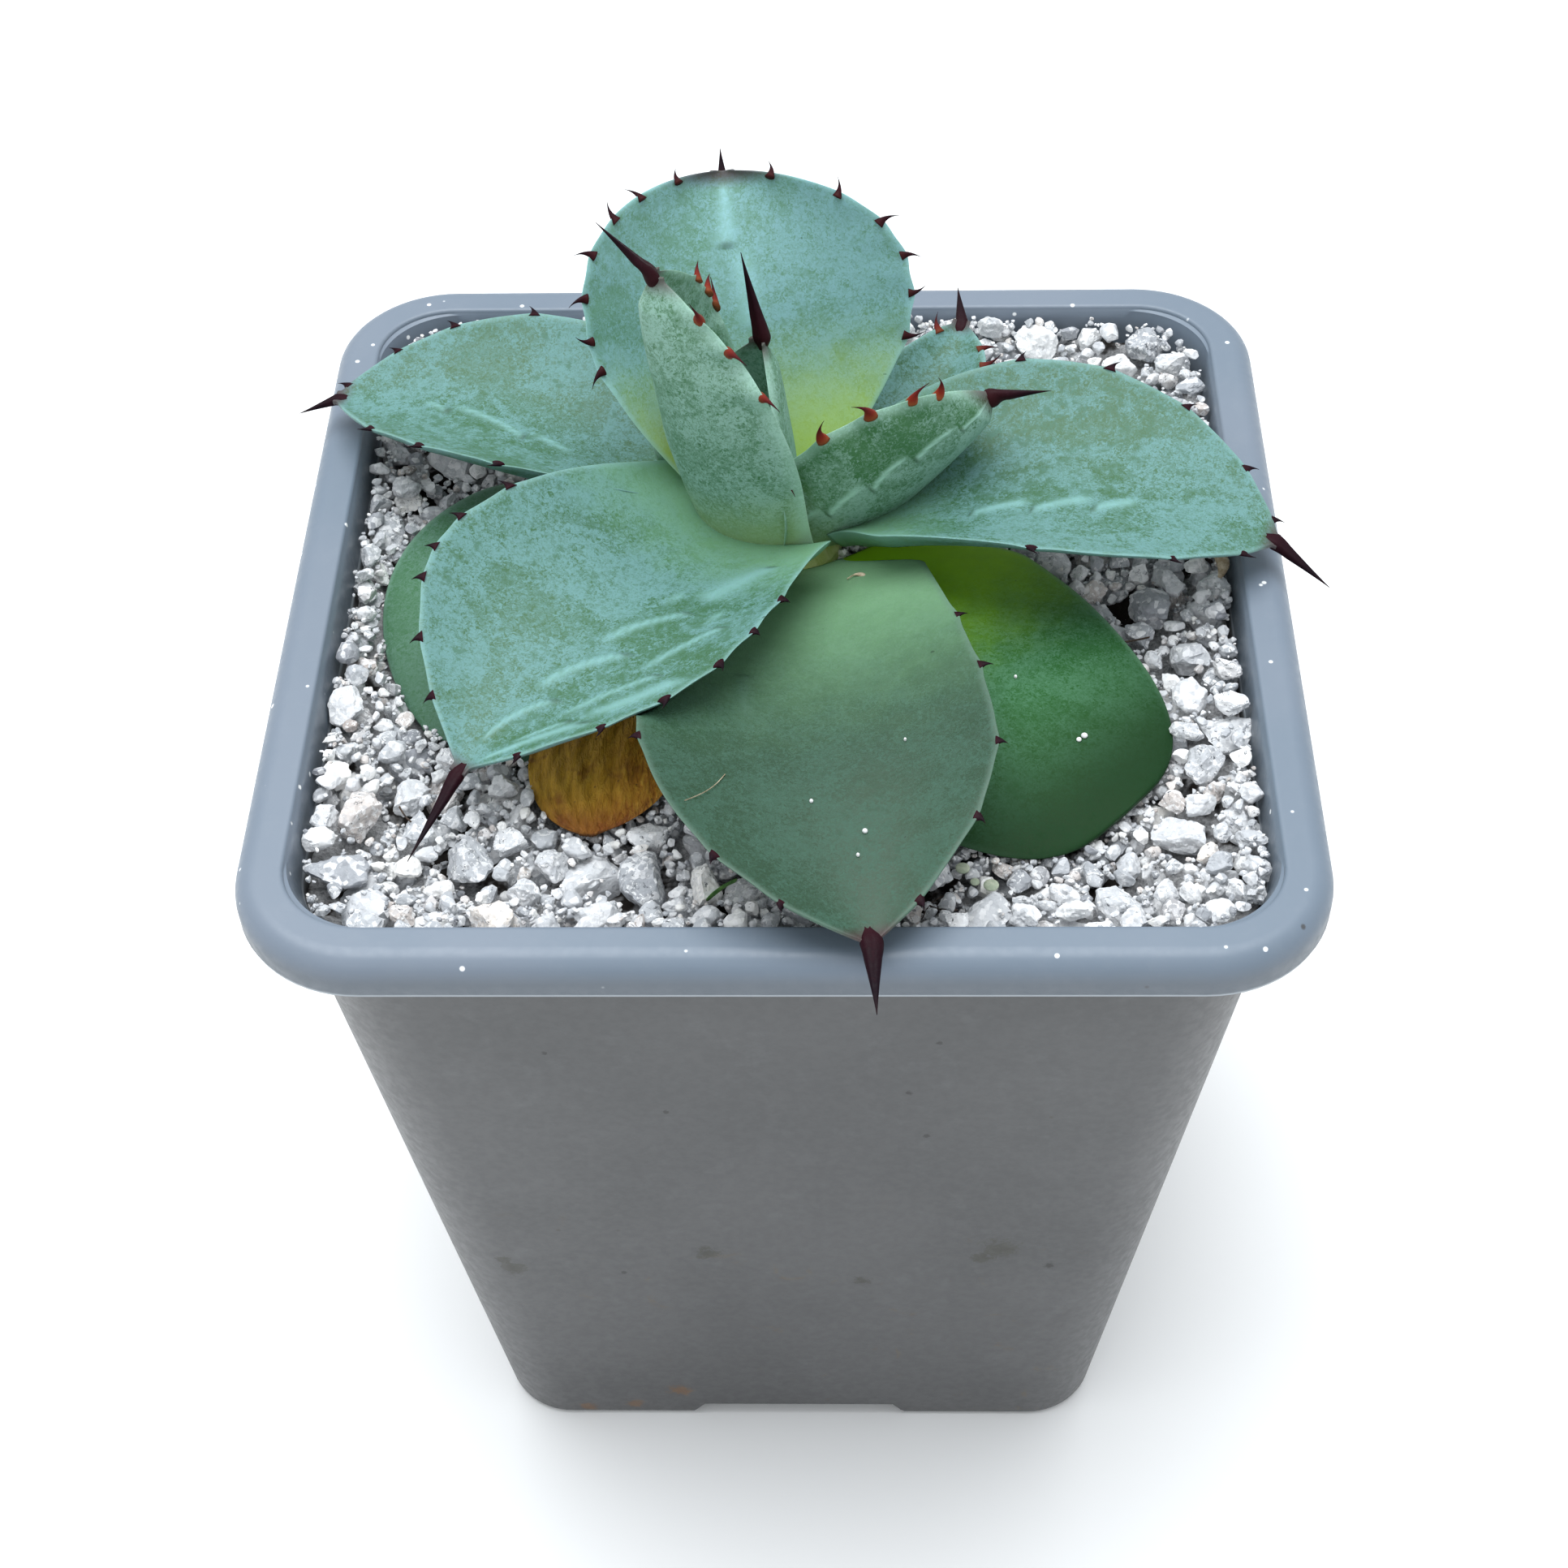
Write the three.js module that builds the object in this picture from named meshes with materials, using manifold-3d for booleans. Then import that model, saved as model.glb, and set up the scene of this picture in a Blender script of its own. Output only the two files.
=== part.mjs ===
// Potted agave: a square plastic pot, potting mix with a pumice top dressing, and a small rosette.
// Millimetres, +Z up. The origin is the middle of the pot's flat underside.
import * as THREE from "three";
import { mergeVertices } from "three/addons/utils/BufferGeometryUtils.js";
import Module from "manifold-3d";

const wasm = await Module();
wasm.setup();

// ---------- driving dimensions ----------
const POT_WIDTH = 110; // outside of the rim, each way
const POT_HEIGHT = 110;
const BASE_WIDTH = 75; // outside of the foot
const RIM_OVERHANG = 4.6; // how far the rim stands out past the wall under it
const WALL = 1.4;
const FLOOR = 1.8;
const RIM_DEPTH = 5.2; // height of the turned-over rim
const RIM_BULGE = 2.2; // how far below the top the rim is widest
const RIM_LIP = 1.3; // thickness of the rim's hanging skirt
const RIM_LEDGE = 5.15; // inner edge of the rim to its outer edge
const RIM_ROUND = 1.6; // inset of the rounded upper edge
const RIM_SHOULDER = 0.5; // inset of the rim a little below that edge
const RIM_EASE = 0.4; // softening of the skirt's lower edge and of the inner edge
const SKIRT_EASE = 0.6; // height of that softening
const SKIRT_ROOF = 1; // drop of the hollow behind the skirt below the rim's underside
const RIM_RADIUS = 13.5; // corner radius, outside of the rim
const INNER_RADIUS = 9;
const BODY_RADIUS_TOP = 11.9;
const BODY_RADIUS_BASE = 8.4;
const FOOT_ROUND = 1.2;
const CHANNEL_WIDTH = 24; // drain channel in the middle of each side of the foot
const CHANNEL_SLOPE = 2; // run of its sloped ends
const CHANNEL_HEIGHT = 3;
const CHANNEL_REACH = 16; // how far it runs in from the side
const DRAIN_DIAMETER = 6;
const DRAIN_LENGTH = 12; // a cut long enough to pass through the channel's end wall
const OVERSHOOT = 1; // how far a cut runs past the face it opens

const CLEARANCE = 0.3; // gap kept between neighbours
const WELD = 0.002; // corners nearer than this become one
const SWELL = 1.15; // a swollen section's corners stand this much further out
const MITRE_LIMIT = 0.4; // keeps a sharp corner of a swollen section from running far out
const GRIT_DROP = 5; // top dressing below the top of the rim
const GRIT_DEPTH = 16;

// The plant's own sizes suit a pot this wide, and they grow in step with the pot.
const USUAL_POT_WIDTH = 110;
const GROWTH = POT_WIDTH / USUAL_POT_WIDTH;

const STEM_X = -0.5 * GROWTH;
const STEM_Y = 12 * GROWTH;
const STEM_RADIUS = 6.4 * GROWTH;
const STEM_CROWN = 4.2 * GROWTH; // top of the stem above the dressing
const STEM_TAPER = 0.75; // the stem's radius near its top, as a share of its full radius
const STEM_CAP = 0.35;
const STEM_SHOULDER = 1; // height of the rounded steps at the top of the stem
const STEM_FLARE = 3; // depth below the dressing where the stem is full
const NECK_DEPTH = 34; // root neck below the dressing
const NECK_RADIUS = 4;
const NECK_TIP = 1.5;
const ROOT_COUNT = 5;
const ROOT_LENGTH = 22;
const ROOT_RADIUS = 2.2;
const ROOT_TIP = 0.6;
const ROOT_DIP = 38; // degrees below level
const ROOT_DROP = 4; // where the roots start, below the top of the potting mix

const LEAF_STATIONS = 11;
const LEAF_SIDES = 10;
const SPINE_STATIONS = 3;
const TOOTH_STATIONS = 40; // places a tooth can stand at along a margin
const SPINE_RADIUS = 1.25;
const SPINE_POINT = 0.12;
const TOOTH_WIDTH = 1.7;
const TOOTH_HEIGHT = 2.1;
const TOOTH_THICKNESS = 0.9;
const TOOTH_ROOT = 0.8; // how deep a tooth is rooted in the margin
const TOOTH_TIP = 0.1;
const TOOTH_INSET = 0.97; // where a tooth starts, as a share of the half width
const TOOTH_LEAN = 0.5; // lean of its point along the margin, as a share of its width
const EDGE = 0.3; // half thickness of a leaf at its margin
const SLIM = 0.2; // the blade thins where its half width is under this share of the width
const BELLY = 1.3; // how late a blade widens from its base

const STONE_SIZE = 3.1 * GROWTH; // mean radius of a loose pumice stone
const STONE_BREADTH = 0.86;
const STONE_FLATNESS = 0.74;
const STONE_SPREAD = 1.3; // room kept round a stone, in stone radii

const GRIT_LEVEL = POT_HEIGHT - GRIT_DROP;
const SOIL_LEVEL = GRIT_LEVEL - GRIT_DEPTH - CLEARANCE;
const DRESSING_TOP = GRIT_LEVEL - STONE_SIZE / 2;
const SKIRT_HEIGHT = POT_HEIGHT - RIM_DEPTH;
const BODY_TOP_WIDTH = POT_WIDTH - 2 * RIM_OVERHANG;
const INNER_WIDTH = POT_WIDTH - 2 * RIM_LEDGE;

// ---------- materials ----------
const finish = (color, roughness, metalness = 0) =>
  new THREE.MeshStandardMaterial({ color, roughness, metalness });
const POT_PLASTIC = finish(0x8d9aa6, 0.45);
const POTTING_MIX = finish(0x2a211a, 1);
const PUMICE = finish(0xc9cbcd, 0.95);
const STEM_GREEN = finish(0x9aa86a, 0.7);
const LEAF_GREEN = finish(0x6f9d88, 0.55);
const LEAF_DARK = finish(0x3f6b45, 0.45);
const DEAD_LEAF = finish(0x9a5f22, 0.8);

// ---------- small helpers ----------
const radians = THREE.MathUtils.degToRad;
const mix = THREE.MathUtils.lerp;
const clamp = THREE.MathUtils.clamp;

function randomStream(seed) {
  let state = seed;
  return () => {
    state = (state * 16807) % 2147483647;
    return state / 2147483647;
  };
}

// Rings of equally many points, joined in order. The last ring closes with a fan, and so does
// the first, unless it is folded: then its upper and lower points are laced across.
function loft(rings, foldedStart = false) {
  const count = rings[0].length;
  const points = rings.flat();
  const faces = [];
  for (let r = 0; r + 1 < rings.length; r += 1) {
    for (let i = 0; i < count; i += 1) {
      const a = r * count + i;
      const b = r * count + ((i + 1) % count);
      faces.push(a, b, b + count, a, b + count, a + count);
    }
  }
  const middle = (ring) =>
    ring.reduce((sum, p) => sum.add(p), new THREE.Vector3()).divideScalar(count);
  if (foldedStart) {
    faces.push(0, count - 1, 1);
    for (let i = 1; i < count / 2 - 1; i += 1) {
      faces.push(i, count - i, i + 1, count - i, count - i - 1, i + 1);
    }
    faces.push(count / 2 - 1, count / 2 + 1, count / 2);
  } else {
    const first = points.push(middle(rings[0])) - 1;
    for (let i = 0; i < count; i += 1) faces.push(first, (i + 1) % count, i);
  }
  const last = points.push(middle(rings[rings.length - 1])) - 1;
  const top = (rings.length - 1) * count;
  for (let i = 0; i < count; i += 1) faces.push(last, top + i, top + ((i + 1) % count));
  return solidFrom(points, faces);
}

function solidFrom(points, faces) {
  const vertProperties = new Float32Array(points.flatMap((p) => [p.x, p.y, p.z]));
  const solid = new wasm.Manifold(
    new wasm.Mesh({ numProp: 3, vertProperties, triVerts: new Uint32Array(faces) }),
  );
  return solid.volume() < 0 ? solidFrom(points, flipped(faces)) : solid;
}

function flipped(faces) {
  const turned = [...faces];
  for (let i = 0; i < turned.length; i += 3) {
    [turned[i + 1], turned[i + 2]] = [turned[i + 2], turned[i + 1]];
  }
  return turned;
}

function solidFromGeometry(geometry) {
  const bare = geometry.index ? geometry.toNonIndexed() : geometry.clone();
  bare.deleteAttribute("normal");
  bare.deleteAttribute("uv");
  const merged = mergeVertices(bare, 1e-4);
  return new wasm.Manifold(
    new wasm.Mesh({
      numProp: 3,
      vertProperties: merged.attributes.position.array,
      triVerts: new Uint32Array(merged.index.array),
    }),
  );
}

// The main body of a cut solid, without specks, and with corners closer than the weld joined.
function largestBody(solid) {
  const { vertProperties, triVerts } = solid.getMesh();
  const points = [];
  const place = [];
  for (let i = 0; i < vertProperties.length; i += 3) {
    const point = new THREE.Vector3().fromArray(vertProperties, i);
    const known = points.findIndex((other) => other.distanceTo(point) < WELD);
    place.push(known < 0 ? points.push(point) - 1 : known);
  }
  const kept = new Map();
  for (let i = 0; i < triVerts.length; i += 3) {
    const face = [0, 1, 2].map((k) => place[triVerts[i + k]]);
    if (new Set(face).size < 3) continue;
    const corners = face.toSorted((p, q) => p - q).join();
    // Two faces on the same corners are a fin of no thickness, so both go.
    if (!kept.delete(corners)) kept.set(corners, face);
  }
  const bodies = solidFrom(points, [...kept.values()].flat()).decompose();
  return bodies.reduce((a, b) => (b.volume() > a.volume() ? b : a));
}

function addMesh(group, name, solid, material) {
  const { vertProperties, triVerts } = solid.getMesh();
  const geometry = new THREE.BufferGeometry();
  geometry.setAttribute("position", new THREE.BufferAttribute(vertProperties, 3));
  geometry.setIndex(new THREE.BufferAttribute(triVerts, 1));
  geometry.computeVertexNormals();
  const mesh = new THREE.Mesh(geometry, material);
  mesh.name = name;
  group.add(mesh);
}

// ---------- pot ----------
const CORNER_STEPS = 5;

// A square ring with round corners, level at height z.
function squareRing(width, radius, z) {
  const ring = [];
  const inset = width / 2 - radius;
  for (let corner = 0; corner < 4; corner += 1) {
    const start = (corner * Math.PI) / 2;
    const cx = inset * Math.sign(Math.cos(start + Math.PI / 4));
    const cy = inset * Math.sign(Math.sin(start + Math.PI / 4));
    for (let step = 0; step <= CORNER_STEPS; step += 1) {
      const angle = start + (step / CORNER_STEPS) * (Math.PI / 2);
      const x = cx + radius * Math.cos(angle);
      const y = cy + radius * Math.sin(angle);
      ring.push(new THREE.Vector3(x, y, z));
    }
  }
  return ring;
}

// Outside of the wall at height z.
const bodyWidth = (z) => mix(BASE_WIDTH, BODY_TOP_WIDTH, z / SKIRT_HEIGHT);
const bodyRadius = (z) => mix(BODY_RADIUS_BASE, BODY_RADIUS_TOP, z / SKIRT_HEIGHT);

// Inside of the wall at height z, less a gap; it opens out to the rim's inner edge at the top.
function cavityRing(z, gap) {
  const wallWidth = bodyWidth(z) - 2 * WALL;
  const flare = clamp((z - SKIRT_HEIGHT) / RIM_DEPTH, 0, 1);
  const width = mix(Math.min(wallWidth, INNER_WIDTH), INNER_WIDTH, flare);
  const radius = mix(bodyRadius(Math.min(z, SKIRT_HEIGHT)) - WALL, INNER_RADIUS, flare);
  return squareRing(width - 2 * gap, radius - gap, z);
}

// The four drain channels as one solid each, swollen by a margin.
function channels(margin) {
  const half = CHANNEL_WIDTH / 2 + margin;
  const height = CHANNEL_HEIGHT + margin;
  const outline = new THREE.Shape([
    new THREE.Vector2(-half - CHANNEL_SLOPE, -OVERSHOOT),
    new THREE.Vector2(half + CHANNEL_SLOPE, -OVERSHOOT),
    new THREE.Vector2(half, height),
    new THREE.Vector2(-half, height),
  ]);
  return [0, 1, 2, 3].map((side) => {
    const prism = new THREE.ExtrudeGeometry(outline, {
      depth: CHANNEL_REACH + margin + 2 * OVERSHOOT,
      bevelEnabled: false,
    });
    prism.rotateX(Math.PI / 2);
    prism.translate(0, -BASE_WIDTH / 2 + CHANNEL_REACH + margin, 0);
    prism.rotateZ((side * Math.PI) / 2);
    return solidFromGeometry(prism);
  });
}

function drainHole(side) {
  const radius = DRAIN_DIAMETER / 2;
  const hole = new THREE.CylinderGeometry(radius, radius, DRAIN_LENGTH, 16);
  hole.rotateX(Math.PI / 2);
  hole.translate(0, -BASE_WIDTH / 2 + CHANNEL_REACH - DRAIN_DIAMETER, CHANNEL_HEIGHT);
  hole.rotateZ((side * Math.PI) / 2);
  return solidFromGeometry(hole);
}

// Space inside the pot between two heights, less a gap, with the channels' roofs standing in it.
function potCavity(low, high, gap) {
  const heights = [low, mix(low, high, 0.5), high];
  if (high > SKIRT_HEIGHT) heights.splice(2, 0, SKIRT_HEIGHT);
  let space = loft(heights.map((z) => cavityRing(z, gap)));
  for (const roof of channels(FLOOR + gap)) space = space.subtract(roof);
  return space;
}

function makePot() {
  const rimRing = (inset, z) => squareRing(POT_WIDTH - 2 * inset, RIM_RADIUS - inset, z);
  const bodyRing = (z) => squareRing(bodyWidth(z), bodyRadius(z), z);
  const skirtTop = POT_HEIGHT - RIM_LIP - SKIRT_ROOF;
  let pot = loft([
    squareRing(BASE_WIDTH - 2 * FOOT_ROUND, BODY_RADIUS_BASE - FOOT_ROUND, 0),
    bodyRing(FOOT_ROUND),
    bodyRing(SKIRT_HEIGHT),
    squareRing(BODY_TOP_WIDTH + RIM_EASE, BODY_RADIUS_TOP, skirtTop),
    rimRing(RIM_LIP + RIM_EASE, skirtTop),
    rimRing(RIM_LIP + RIM_EASE, SKIRT_HEIGHT),
    rimRing(RIM_EASE, SKIRT_HEIGHT),
    rimRing(0, SKIRT_HEIGHT + SKIRT_EASE),
    rimRing(0, POT_HEIGHT - RIM_BULGE),
    rimRing(RIM_SHOULDER, POT_HEIGHT - RIM_BULGE / 3),
    rimRing(RIM_ROUND, POT_HEIGHT),
    squareRing(INNER_WIDTH + 2 * RIM_EASE, INNER_RADIUS + RIM_EASE, POT_HEIGHT),
  ]);
  pot = pot.subtract(loft([
    cavityRing(FLOOR, 0),
    cavityRing(SKIRT_HEIGHT, 0),
    cavityRing(POT_HEIGHT - SKIRT_EASE, 0),
    squareRing(INNER_WIDTH + 4 * RIM_EASE, INNER_RADIUS + 2 * RIM_EASE, POT_HEIGHT + SKIRT_EASE),
  ]).subtract(unite(channels(FLOOR))));
  pot = pot.subtract(unite(channels(0)));
  for (let side = 0; side < 4; side += 1) pot = pot.subtract(drainHole(side));
  return largestBody(pot);
}

const unite = (solids) => solids.reduce((sum, solid) => sum.add(solid));

// ---------- leaves ----------
// heading, sweep: compass direction in degrees from +X and its change along the leaf.
// reach, foot: where the midrib starts, out from the stem's axis and above the dressing.
// rise, roll, cup, thick: values at the base and at the tip. Cup is edge lift over half width.
// widest, neck: place of the full width along the leaf, and the base's share of that width.
// shoulder, point: shape of the end, from round to drawn out.
// spine, aim: length of the end spine, and the compass direction and rise it points in.
// teeth: places along the left and right margins, looking from the base to the tip.
const LEAVES = [
  {
    name: "leaf_heart", heading: -100, sweep: 0, reach: 0.8, foot: 3, length: 13, rise: [86, 86],
    roll: [0, 0], width: 6, widest: 0.3, neck: 0.8, shoulder: 1.6, point: 0.9,
    cup: [0.6, 0.6], thick: [2.4, 1.5], spine: 4, aim: [-100, 86], teeth: [[], []],
  },
  {
    name: "leaf_bud", heading: 60, sweep: 0, reach: 3.4, foot: 3, length: 22, rise: [86, 94],
    roll: [0, 0], width: 11.5, widest: 0.35, neck: 0.8, shoulder: 1.5, point: 0.8,
    cup: [1.1, 1.3], thick: [2.6, 1.6], spine: 11, aim: [115, 70], teeth: [[0.35, 0.6], [0.4]],
  },
  {
    name: "leaf_inner_left", heading: -162, sweep: 0, reach: 6, foot: 3.3, length: 36,
    rise: [69, 88], roll: [3, 0], width: 21, widest: 0.4, neck: 0.84, shoulder: 2.2, point: 0.8,
    cup: [0.8, 0.9], thick: [3, 2], spine: 9.5, aim: [180, 60],
    teeth: [[0.69, 0.83, 0.92], [0.6, 0.68, 0.77]],
  },
  {
    name: "leaf_inner_right", heading: -15, sweep: 46, reach: 1, foot: 2, length: 28.7,
    rise: [34, 40], roll: [-43, -56], width: 26, widest: 0.4, neck: 0.9, shoulder: 2.1, point: 0.7,
    cup: [0.3, 0.55], thick: [3.4, 2], spine: 6.5, aim: [-10, 12],
    teeth: [[0.5, 0.7], [0.2, 0.48, 0.67, 0.81, 0.89]],
  },
  {
    name: "leaf_back", heading: 113, sweep: -17, reach: 5, foot: 3.9, length: 36.5,
    rise: [66, 44], roll: [2, 2], width: 36, widest: 0.58, neck: 0.44, shoulder: 2.3, point: 0.71,
    cup: [0.3, 0.6], thick: [4.5, 2], spine: 2.5, aim: [96, 44],
    teeth: [[0.47, 0.55, 0.66, 0.77, 0.86, 0.92, 0.97], [0.42, 0.55, 0.67, 0.78, 0.88, 0.97]],
  },
  {
    name: "leaf_right", heading: -1, sweep: -20, reach: 6, foot: 3.7, length: 50.7,
    rise: [27.5, -17], roll: [-1, 0], width: 32.6, widest: 0.48, neck: 0.52, shoulder: 2.05,
    point: 0.87, cup: [0.45, 0.14], thick: [4.5, 2], spine: 7.5, aim: [-42, -17],
    teeth: [[0.4, 0.57, 0.73, 0.88, 0.97], [0.5, 0.8, 0.94]],
  },
  {
    name: "leaf_front_left", heading: -130, sweep: 7, reach: 6, foot: 5.6, length: 49,
    rise: [17, -13], roll: [-1, 0], width: 36, widest: 0.53, neck: 0.6, shoulder: 2.1,
    point: 1.15, cup: [0.42, 0.32], thick: [4.5, 2.2], spine: 11, aim: [-114, -13],
    teeth: [[0.31, 0.44, 0.56, 0.69, 0.8, 0.92], [0.4, 0.53, 0.62, 0.69, 0.8, 0.89]],
  },
  {
    name: "leaf_left", heading: 156, sweep: 14, reach: 5, foot: 2.6, length: 51,
    rise: [18.5, -6], roll: [6, 1], width: 29, widest: 0.49, neck: 0.5, shoulder: 2.2,
    point: 0.85, cup: [0.5, 0.3], thick: [4.2, 2], spine: 4.5, aim: [-158, -9],
    teeth: [[0.5, 0.7, 0.85], [0.62, 0.78, 0.89, 0.98]],
  },
  {
    name: "leaf_back_right", heading: 35, sweep: 40, reach: 6, foot: 0.8, length: 30,
    rise: [25, 17.5], roll: [1, 2], width: 14, widest: 0.44, neck: 0.6, shoulder: 2.1,
    point: 0.82, cup: [0.47, 0.4], thick: [3.2, 1.8], spine: 5, aim: [95, 18],
    teeth: [[0.93], [0.8, 0.88]],
  },
  {
    name: "leaf_front", heading: -88, sweep: 13, reach: 6, foot: 0.9, length: 63.3,
    rise: [22.5, -9], roll: [0, -2], width: 35.7, widest: 0.58, neck: 0.8, shoulder: 2.27,
    point: 0.88, cup: [0.24, 0.24], thick: [4.4, 2.2], spine: 9.5, aim: [-87, -9],
    teeth: [[0.34, 0.5, 0.69, 0.83, 0.95], [0.45, 0.59, 0.83, 0.92]],
  },
  {
    name: "leaf_low_left", heading: -151, sweep: 19, reach: 6, foot: 0, length: 42.6,
    rise: [13, -17], roll: [0, 0], width: 52, widest: 0.45, neck: 0.5, shoulder: 2.2,
    point: 0.74, cup: [0, -0.08], thick: [3.6, 1.6], spine: 2, aim: [-132, -17], teeth: [[], []], dark: true,
  },
  {
    name: "leaf_low_right", heading: -46, sweep: -1, reach: 6, foot: 0, length: 48.6,
    rise: [13, -17], roll: [0, 0], width: 33, widest: 0.34, neck: 0.52, shoulder: 2.2,
    point: 0.43, cup: [0, -0.08], thick: [3.6, 1.6], spine: 2, aim: [-47, -17], teeth: [[], []], dark: true,
  },
  {
    name: "leaf_dead", heading: -113, sweep: -6, reach: 6, foot: -1.4, length: 47,
    rise: [4, 0], roll: [0, 14], width: 22, widest: 0.62, neck: 0.5, shoulder: 1.8,
    point: 0.7, cup: [0.1, -0.25], thick: [1.6, 1], spine: 1, aim: [-119, 0], teeth: [[], []], dead: true,
  },
].map((leaf) => ({
  ...leaf,
  reach: leaf.reach * GROWTH,
  foot: leaf.foot * GROWTH,
  length: leaf.length * GROWTH,
  width: leaf.width * GROWTH,
  spine: leaf.spine * GROWTH,
  thick: leaf.thick.map((value) => value * GROWTH),
}));

// Half width at place s along the blade.
function halfWidth(leaf, s) {
  const half = leaf.width / 2;
  if (s < leaf.widest) {
    const swell = Math.sin((Math.PI / 2) * (s / leaf.widest)) ** BELLY;
    return half * mix(leaf.neck, 1, swell);
  }
  const t = (s - leaf.widest) / (1 - leaf.widest);
  return half * (1 - t ** leaf.shoulder) ** leaf.point;
}

// Unit vector with this compass direction and rise, in degrees.
function direction(heading, rise) {
  const level = Math.cos(radians(rise));
  return new THREE.Vector3(
    level * Math.cos(radians(heading)), level * Math.sin(radians(heading)), Math.sin(radians(rise)),
  );
}

// Midrib points with their tangent, left and upper directions, at evenly spaced stations.
function midrib(leaf, stations) {
  const place = new THREE.Vector3(STEM_X, STEM_Y, GRIT_LEVEL + leaf.foot)
    .addScaledVector(direction(leaf.heading, 0), leaf.reach);
  const frames = [];
  const substeps = 4;
  for (let i = 0; i <= stations * substeps; i += 1) {
    const s = i / (stations * substeps);
    const heading = leaf.heading + leaf.sweep * s;
    const roll = radians(mix(...leaf.roll, s));
    const tangent = direction(heading, mix(...leaf.rise, s));
    const level = direction(heading + 90, 0);
    const normal = new THREE.Vector3().crossVectors(tangent, level);
    const left = level.clone().multiplyScalar(Math.cos(roll)).addScaledVector(normal, Math.sin(roll));
    const up = new THREE.Vector3().crossVectors(tangent, left);
    if (i > 0) place.addScaledVector(tangent, leaf.length / (stations * substeps));
    if (i % substeps === 0) frames.push({ s, place: place.clone(), tangent, left, up });
  }
  return frames;
}

// Lift of the blade's middle surface where across runs from -1, the right margin, to 1, the left.
function cupLift(leaf, s, across) {
  return mix(...leaf.cup, s) * Math.max(halfWidth(leaf, s), SPINE_RADIUS) * across * across;
}

function bladePoint(leaf, frame, across) {
  const half = Math.max(halfWidth(leaf, frame.s), SPINE_RADIUS);
  return frame.place.clone()
    .addScaledVector(frame.left, across * half)
    .addScaledVector(frame.up, cupLift(leaf, frame.s, across));
}

// Section of the blade, thick below the midrib and thin at the margins, swollen by grow.
function bladeRing(leaf, frame, grow) {
  const half = Math.max(halfWidth(leaf, frame.s), SPINE_RADIUS);
  const slim = clamp(half / (leaf.width * SLIM), 0, 1);
  const thickness = Math.max(mix(...leaf.thick, frame.s) * slim, 2 * EDGE);
  const outline = Array.from({ length: LEAF_SIDES }, (_, i) => {
    const angle = (2 * Math.PI * i) / LEAF_SIDES;
    const across = Math.cos(angle);
    const depth = Math.sin(angle) < 0 ? thickness - EDGE : EDGE;
    const lift = cupLift(leaf, frame.s, across) + depth * Math.sin(angle);
    return new THREE.Vector2(across * half, lift);
  });
  return outline.map((point, i) => {
    const before = outline[(i + LEAF_SIDES - 1) % LEAF_SIDES];
    const after = outline[(i + 1) % LEAF_SIDES];
    const behind = new THREE.Vector2(point.y - before.y, before.x - point.x).normalize();
    const ahead = new THREE.Vector2(after.y - point.y, point.x - after.x).normalize();
    const outward = behind.clone().add(ahead).normalize();
    const reach = (grow * SWELL) / Math.max(outward.dot(behind), MITRE_LIMIT);
    const swollen = point.clone().addScaledVector(outward, reach);
    return frame.place.clone()
      .addScaledVector(frame.left, swollen.x)
      .addScaledVector(frame.up, swollen.y);
  });
}

function spineRing(leaf, tip, t, grow) {
  const radius = SPINE_RADIUS * (1 - t) + SPINE_POINT + grow;
  const centre = tip.place.clone()
    .addScaledVector(direction(...leaf.aim), leaf.spine * t + grow * t);
  return Array.from({ length: LEAF_SIDES }, (_, i) => {
    const angle = (2 * Math.PI * i) / LEAF_SIDES;
    return centre.clone()
      .addScaledVector(tip.left, radius * Math.cos(angle))
      .addScaledVector(tip.up, radius * Math.sin(angle));
  });
}

// A three-sided hook standing on the margin and leaning towards the tip.
function toothSolid(leaf, s, side, grow) {
  const frames = midrib(leaf, TOOTH_STATIONS);
  const nearest = Math.min(Math.round(s * TOOTH_STATIONS), TOOTH_STATIONS - 1);
  const frame = frames[nearest];
  const ahead = frames[nearest + 1];
  const root = bladePoint(leaf, frame, side * TOOTH_INSET);
  const along = bladePoint(leaf, ahead, side).sub(bladePoint(leaf, frame, side)).normalize();
  const out = frame.left.clone().multiplyScalar(side);
  out.addScaledVector(along, -out.dot(along)).normalize();
  const up = new THREE.Vector3().crossVectors(along, out).normalize();
  const section = (height, lean, wide, thick) =>
    [[1, -0.5], [0, 1], [-1, -0.5]].map(([a, b]) =>
      root.clone()
        .addScaledVector(out, height)
        .addScaledVector(along, lean + a * (wide + 2 * grow))
        .addScaledVector(up, b * (thick + 2 * grow)));
  return loft([
    section(-TOOTH_ROOT - grow, 0, TOOTH_WIDTH / 2, TOOTH_THICKNESS / 2),
    section(TOOTH_HEIGHT + grow, TOOTH_WIDTH * TOOTH_LEAN, TOOTH_TIP, TOOTH_TIP),
  ]);
}

// Blade, terminal spine and teeth of one leaf, swollen by a gap when it cuts a neighbour.
function leafSolid(leaf, grow = 0) {
  const frames = midrib(leaf, LEAF_STATIONS);
  const tip = frames[LEAF_STATIONS];
  const rings = frames.map((frame) => bladeRing(leaf, frame, grow));
  rings[0].forEach((point) => point.addScaledVector(frames[0].tangent, -grow));
  for (let i = 1; i <= SPINE_STATIONS; i += 1) {
    rings.push(spineRing(leaf, tip, i / SPINE_STATIONS, grow));
  }
  let solid = loft(rings, true);
  for (const [margin, side] of [[0, 1], [1, -1]]) {
    for (const s of leaf.teeth[margin]) solid = solid.add(toothSolid(leaf, s, side, grow));
  }
  return solid;
}

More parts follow.
